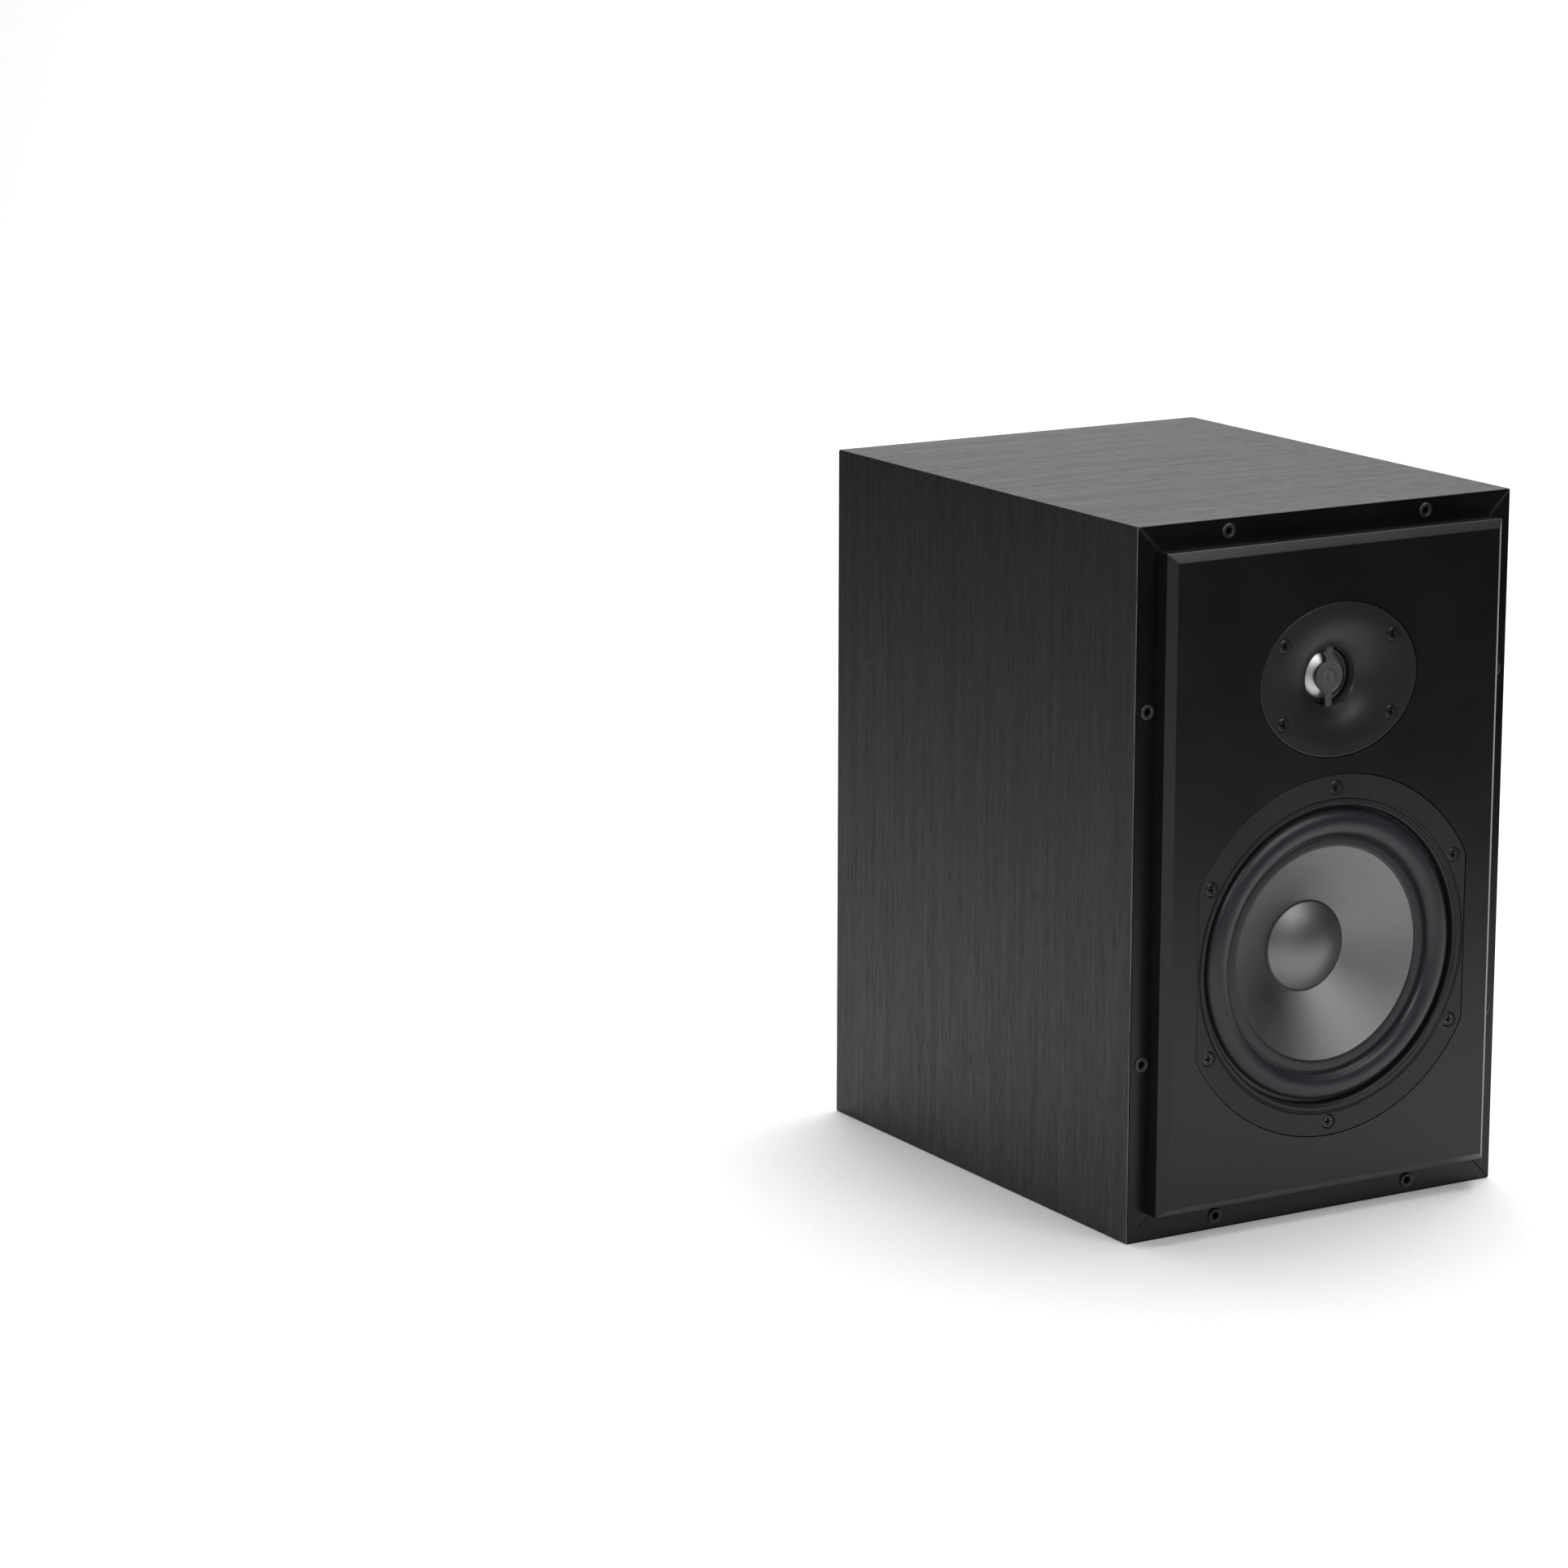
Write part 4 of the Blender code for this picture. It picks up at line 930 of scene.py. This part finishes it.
def make_horn_plate(looks):
    """The oval plate: a flat rim that flows into a shallow horn, with a boss behind."""
    flare = [
        (50.0, 40.6, 0.0), (45.0, 36.8, 0.25), (40.5, 33.4, 0.80), (36.0, 30.2, 1.60), (31.0, 26.8, 2.80),
        (26.5, 23.9, 4.30), (22.5, 21.4, 6.20), (19.8, 19.6, 7.90), (18.3, 18.3, 9.20), (17.6, 17.6, 10.40),
        (17.3, 17.3, 12.40), (17.2, 17.2, 14.20),
    ]
    rim = [
        (56.9, 46.5, 3.4), (PLATE_X, PLATE_Z, 0.9), (56.85, 46.45, 0.35), (56.4, 46.0, 0.05),
        (55.8, 45.4, 0.0),
    ]
    back = [(20.5, 20.5, 14.2), (20.5, 20.5, 17.2), (36, 36, 17.2), (36, 36, 4.0), (56.6, 46.2, 4.0)]
    rings = [oval(x, z, TWEETER, depth) for x, z, depth in rim + curve_through(flare) + back]
    plate = finished("horn_plate", skinned(rings, looped=True), looks["plate_black"])
    combine(plate, screw_bores("tweeter", FACE_Y))
    place(plate, "cabinet", "plate_black", "tweeter_faceplate")


def make_horn_bridge(looks):
    """A round phase disc carried by an upright bar across the throat."""
    disc = [
        (0, 9.7), (1.7, 9.6, 0.4), (2.3, 9.0, 0.4), (4.0, 9.0, 0.4), (4.7, 9.8, 0.4), (8.4, 9.9, 0.4),
        (9.1, 9.3, 0.4), (9.6, 9.9, 0.4), (9.6, 11.6, 0.4), (0, 11.6),
    ]
    bridge = turned("horn_bridge", disc, TWEETER, looks["bridge_grey"], segments=MEDIUM)
    half, top, foot = 2.3 * MM, TWEETER.y + 9.7 * MM, TWEETER.y + 11.3 * MM
    edge, heel, reach = 0.7 * MM, 0.5 * MM, 19.0 * MM
    section = rounded([(-half, foot, heel), (-half, top, edge), (half, top, edge), (half, foot, heel)])
    rings = [[(x, y, TWEETER.z + side * reach) for x, y in section] for side in (-1, 1)]
    combine(bridge, [skinned(rings, capped=True)], "UNION")
    place(bridge, "cabinet", "plate_black", "tweeter_phase_bridge")


def make_dome(looks):
    """The metal dome and the small roll that carries it."""
    dome = offset_sheet(dome_line(radius=14.0, crown=12.3, rim=15.9) + [(14.3, 16.1)], thickness=0.3)
    place_turned(looks, "metal_dome", dome, TWEETER, "tweeter_moving", "dome_metal", "tweeter_dome",
                 sharp=SOFT, segments=PLAIN)

    middle, reach, rise, floor = 16.1, 1.3, 0.95, 16.2
    thickness = 0.35
    line = [(20.2, 16.3), (17.7, 16.25)] + half_roll(middle, reach, rise, floor, steps=8) + [(14.6, 16.25)]
    roll = turned("dome_roll", offset_sheet(line, thickness), TWEETER, looks["rubber_black"], SOFT,
                  segments=PLAIN)
    flexible_ring(roll, "tweeter_moving", TWEETER, middle - reach, middle + reach,
                  "tweeter_surround")


# -------- motors

def make_motors(looks):
    """Pole plates, magnets, yokes and coils of both drive units, behind the cones."""
    steel, ferrite, copper = "zinc_steel", "ferrite", "coil_copper"
    woofer_parts = {
        "woofer_top_plate": (steel, [(21, 59.3, .4), (50, 59.3, .8), (50, 66.3, .8), (21, 66.3, .4)]),
        "woofer_magnet": (ferrite, [(28, 66.6, .5), (55, 66.6, 1.2), (55, 85.6, 1.2), (28, 85.6, .5)]),
        "woofer_yoke": (steel, [(0, 58.4), (17.9, 58.4, .8), (17.9, 85.9), (52, 85.9, .6), (52, 94, 2),
                                (0, 94)]),
        "woofer_voice_coil": (copper, [(18.7, 31), (19.4, 31), (19.4, 55), (20.2, 55, .2), (20.2, 69, .2),
                                       (18.7, 69)]),
    }
    tweeter_parts = {
        "tweeter_top_plate": (steel, [(14.4, 17.5, .3), (36, 17.5, .6), (36, 21.5, .6), (14.4, 21.5, .3)]),
        "tweeter_magnet": (ferrite, [(18, 21.8, .4), (36, 21.8, 1), (36, 36.8, 1), (18, 36.8, .4)]),
        "tweeter_yoke": (steel, [(0, 18.4), (12.7, 18.4, .5), (12.7, 37.1), (35, 37.1, .5), (35, 41.1, 1.2),
                                 (0, 41.1)]),
        "tweeter_voice_coil": (copper, [(13.2, 16.8), (13.8, 16.8, .1), (13.8, 24, .1), (13.2, 24)]),
    }
    for origin, parts in ((WOOFER, woofer_parts), (TWEETER, tweeter_parts)):
        for node, (slot, profile) in parts.items():
            name = node.replace("_", "_motor_", 1)
            body = frame["nodes"][node]["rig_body"]
            place_turned(looks, name, profile, origin, body, slot, node, segments=PLAIN)


# -------- rear fittings

def make_port(looks):
    """The reflex tube: a broad flange and a smooth flare at each end."""
    length = 122
    inside = [
        (47.0, -1.0, 0.6), (45.6, -3.0, 1.0), (42.0, -3.0, 1.6), (37.2, -0.8, 3.0), (32.8, 4.6, 4.0),
        (30.0, 14.0, 8.0), (30.0, length - 16, 8.0), (32.4, length - 5, 4.0), (36.5, length, 0.6),
    ]
    outside = [
        (38.5, length, 0.8), (34.2, length - 6, 2.0), (32.5, length - 16, 3.0), (32.5, 18.0, 3.0),
        (35.5, 8.0, 2.0), (41.0, -0.3, 0.3), (47.0, -0.3, 0.2),
    ]
    place_turned(looks, "reflex_tube", inside + outside, PORT, "cabinet", "moulded_black", "port_tube",
                 facing=REAR, steps=6)


def make_dish(looks):
    """The recessed terminal dish with its flange, post holes and screw seats."""
    corner, post_hole = 5, 3.2
    sections = [
        (41.0, 24.0, 20), (41.6, 24.6, 18.6), (43.6, 26.6, -1.6), (44.2, 27.2, -2.7), (45.0, 28.0, -3.0),
        (54.6, 37.6, -3.0), (55.5, 38.5, -2.6), (56.0, 39.0, -1.8), (56.0, 39.0, -0.3),
        (46.5, 29.5, -0.3), (43.5, 26.5, 22.5),
    ]
    rings = []
    for half_x, half_z, depth in sections:
        outline = rounded([(sx * half_x, sz * half_z, corner) for sx, sz in CORNERS], steps=8)
        rings.append([(CUP.x + x * MM, BACK_Y - depth * MM, CUP.z + z * MM) for x, z in outline])
    dish = finished("terminal_dish", skinned(rings, capped=True), looks["moulded_black"])
    cutters = screw_bores("cup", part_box("terminal_cup")[1].y, REAR)
    for colour in ("red", "black"):
        cutters.append(cylinder(post_hole, post_foot(colour), facing=REAR, segments=MEDIUM))
    combine(dish, cutters)
    place(dish, "cabinet", "moulded_black", "terminal_cup")


def post_foot(colour):
    """Where a binding post's axis meets the plane of the back board."""
    return Vector((middle_of(f"post_stud_{colour}").x, BACK_Y, CUP.z))


def knurled(radius, angle):
    """Twenty-four flutes round the grip of a knob."""
    flutes, depth, grip_r = 24, 0.32, 6.4
    if radius < grip_r:
        return radius
    return radius - depth * (0.5 + 0.5 * math.cos(flutes * angle)) ** 2


def make_posts(looks):
    """Two binding posts: socketed stud, threaded collar and fluted knob."""
    threads, crest, root = 14, 2.5, 2.32
    round_post, round_knob = 48, 192
    stud = [(0, 14), (2.0, 14), (2.0, 0.9), (2.2, 0.5), (crest, 0.8)]
    for turn in range(threads):
        stud += [(crest, 2.0 + turn), (root, 2.5 + turn)]
    stud += [
        (crest, 16.7), (6.5, 16.7, 0.5), (6.5, 19.7, 0.5), (2.9, 19.7), (2.9, 22.8), (5.5, 22.8, 0.4),
        (5.5, 26, 0.4), (2.9, 26), (2.9, 32, 0.5), (0, 32),
    ]
    collar = [(2.8, 2.2, 0.2), (4.0, 2.2, 0.3), (4.0, 14, 0.3), (2.8, 14, 0.2)]
    knob = [
        (3.0, 1.0, 0.3), (5.6, 1.0, 0.7), (6.35, 1.9, 0.5), (7.0, 3.0, 0.4), (7.0, 12.6, 0.4),
        (6.35, 13.4, 0.3), (6.35, 15.7, 0.5), (4.3, 16.2, 0.3), (4.3, 1.9), (3.0, 1.9, 0.2),
    ]
    for colour in ("red", "black"):
        foot = post_foot(colour)
        place_turned(looks, f"post_shaft_{colour}", stud, foot, "cabinet", "post_metal",
                     f"post_stud_{colour}", facing=REAR, segments=round_post)
        place_turned(looks, f"post_collar_{colour}", collar, foot, f"post_nut_{colour}", "post_metal",
                     f"post_insert_{colour}", facing=REAR, segments=round_post)
        place_turned(looks, f"fluted_knob_{colour}", knob, foot, f"post_knob_{colour}", f"post_{colour}",
                     f"post_cap_{colour}", facing=REAR, segments=round_knob, limit=knurled, sharp=MILD)


def dress_remaining_nodes(looks):
    """CAD nodes that keep their own shape, inside the cabinet, get procedural finishes."""
    for row in frame["record"]["subparts"]:
        node = frame["nodes"][row["node"]]
        if node.hide_render:
            continue
        node.data.materials.clear()
        node.data.materials.append(looks[row["material_slot"]])


# -------- stage, lights and camera

VIEW_TURN = 30.759
VIEW_DIP = 12.64
VIEW_ROLL = -0.078
CAMERA_AT = Vector((-1.82618, -2.60241, 0.94379))
LENS = 120.39
SENSOR = 36.0


def make_camera():
    data = bpy.data.cameras.new("camera")
    data.sensor_width = SENSOR
    data.lens = LENS
    camera = linked("camera", data)
    camera.location = CAMERA_AT
    turns = (90 - VIEW_DIP, VIEW_ROLL, -VIEW_TURN)
    camera.rotation_euler = [math.radians(turn) for turn in turns]
    bpy.context.scene.camera = camera


def seen_from_camera(sideways, ahead, up=0.0):
    """A point given sideways of, and beyond, the object as the camera sees it."""
    turn = math.radians(VIEW_TURN)
    return Vector((sideways * math.cos(turn) + ahead * math.sin(turn),
                   -sideways * math.sin(turn) + ahead * math.cos(turn), up))


def make_sweep():
    """A pale paper sweep: floor, a wide bend and a wall behind."""
    width_left, width_right = 1.3, 2.6
    near, bend_at, bend, top, steps = -2.2, 2.2, 1.2, 3.2, 16
    section = [(ahead, 0.0) for ahead in (near, -1.0, 0.0, bend_at)]
    for step in range(1, steps + 1):
        angle = math.radians(90 * step / steps)
        section.append((bend_at + bend * math.sin(angle), bend - bend * math.cos(angle)))
    section.append((bend_at + bend, top))
    shape = bmesh.new()
    columns = []
    for sideways in (-width_left, width_right):
        columns.append([shape.verts.new(seen_from_camera(sideways, ahead, up)) for ahead, up in section])
    for i in range(len(section) - 1):
        shape.faces.new((columns[0][i], columns[1][i], columns[1][i + 1], columns[0][i + 1]))
    look = Finish("paper_sweep", roughness=0.9, specular=0.2)
    tooth = look.noise((350, 350, 350), detail=4)
    look.colour(tooth, [(0.3, 0.90), (0.7, 0.93)])
    look.relief(tooth, 0.05, 0.0002)
    mesh = mesh_from("paper_sweep", shape)
    mesh.materials.append(look.material)
    mesh.shade_smooth()
    linked("paper_sweep", mesh)


def soft_light(name, at, aim, size, power):
    data = bpy.data.lights.new(name, "AREA")
    data.shape = "RECTANGLE"
    data.size, data.size_y = size
    data.energy = power
    light = linked(name, data)
    light.location = at
    light.rotation_euler = (aim - at).to_track_quat("-Z", "Y").to_euler()


def flag(name, centre, width, height):
    """A matt black card facing the object, which only its gloss reflects, to shape the highlights."""
    along = Vector((-centre.y, centre.x, 0)).normalized() * width / 2
    up = Vector((0, 0, height / 2))
    shape = bmesh.new()
    shape.faces.new([shape.verts.new(centre + sx * along + sz * up) for sx, sz in CORNERS])
    look = Finish("flag_black", roughness=1.0, specular=0.0)
    cloth = look.noise((500, 500, 500))
    look.colour(cloth, [(0.3, 0.002), (0.7, 0.004)])
    mesh = mesh_from(name, shape)
    mesh.materials.append(look.material)
    card = linked(name, mesh)
    for ray in ("camera", "diffuse", "shadow", "transmission"):
        setattr(card, f"visible_{ray}", False)


def make_world():
    """A white surround for the picture's background that lights the object only faintly."""
    to_object, to_camera = 0.022, 1.0
    world = bpy.data.worlds.new("studio")
    world.use_nodes = True
    tree = world.node_tree
    background = tree.nodes["Background"]
    background.inputs["Color"].default_value = (1.0, 1.0, 1.0, 1.0)
    path = tree.nodes.new("ShaderNodeLightPath")
    strength = tree.nodes.new("ShaderNodeMapRange")
    strength.inputs["To Min"].default_value = to_object
    strength.inputs["To Max"].default_value = to_camera
    tree.links.new(path.outputs["Is Camera Ray"], strength.inputs["Value"])
    tree.links.new(strength.outputs["Result"], background.inputs["Strength"])
    bpy.context.scene.world = world


def make_lights():
    """Four soft lights, in watts, and two cards that hold the gloss of the sides down."""
    middle = Vector((0, 0, HEIGHT / 2))
    soft_light("overhead", at=seen_from_camera(0.2, 0.6, 2.7), aim=middle, size=(2.6, 2.2), power=88)
    soft_light("front", at=Vector((0.35, -2.0, 1.65)), aim=middle, size=(1.5, 1.1), power=20)
    soft_light("wall_wash", at=seen_from_camera(0.0, 1.2, 2.6), aim=seen_from_camera(-0.1, 3.4, 0.7),
               size=(2.8, 0.6), power=58)
    soft_light("left_fill", at=Vector((-1.7, -1.1, 1.5)), aim=Vector((-0.35, -0.05, 0)),
               size=(1.0, 0.8), power=18)
    flag("flag_right", Vector((0.43, -0.74, 0.27)), width=1.1, height=0.54)
    flag("flag_left", Vector((-0.70, 0.40, 0.30)), width=0.9, height=0.60)


def main():
    looks = make_finishes()
    make_camera()
    make_sweep()
    make_world()
    make_lights()
    bpy.context.scene.view_settings.view_transform = "Standard"
    for make in (make_walls, make_sockets, make_rear_board, make_baffle, make_screws, make_frame_casting,
                 make_surround, make_spider, make_moving_parts, make_horn_plate, make_horn_bridge, make_dome,
                 make_motors, make_port, make_dish, make_posts, dress_remaining_nodes):
        make(looks)


main()
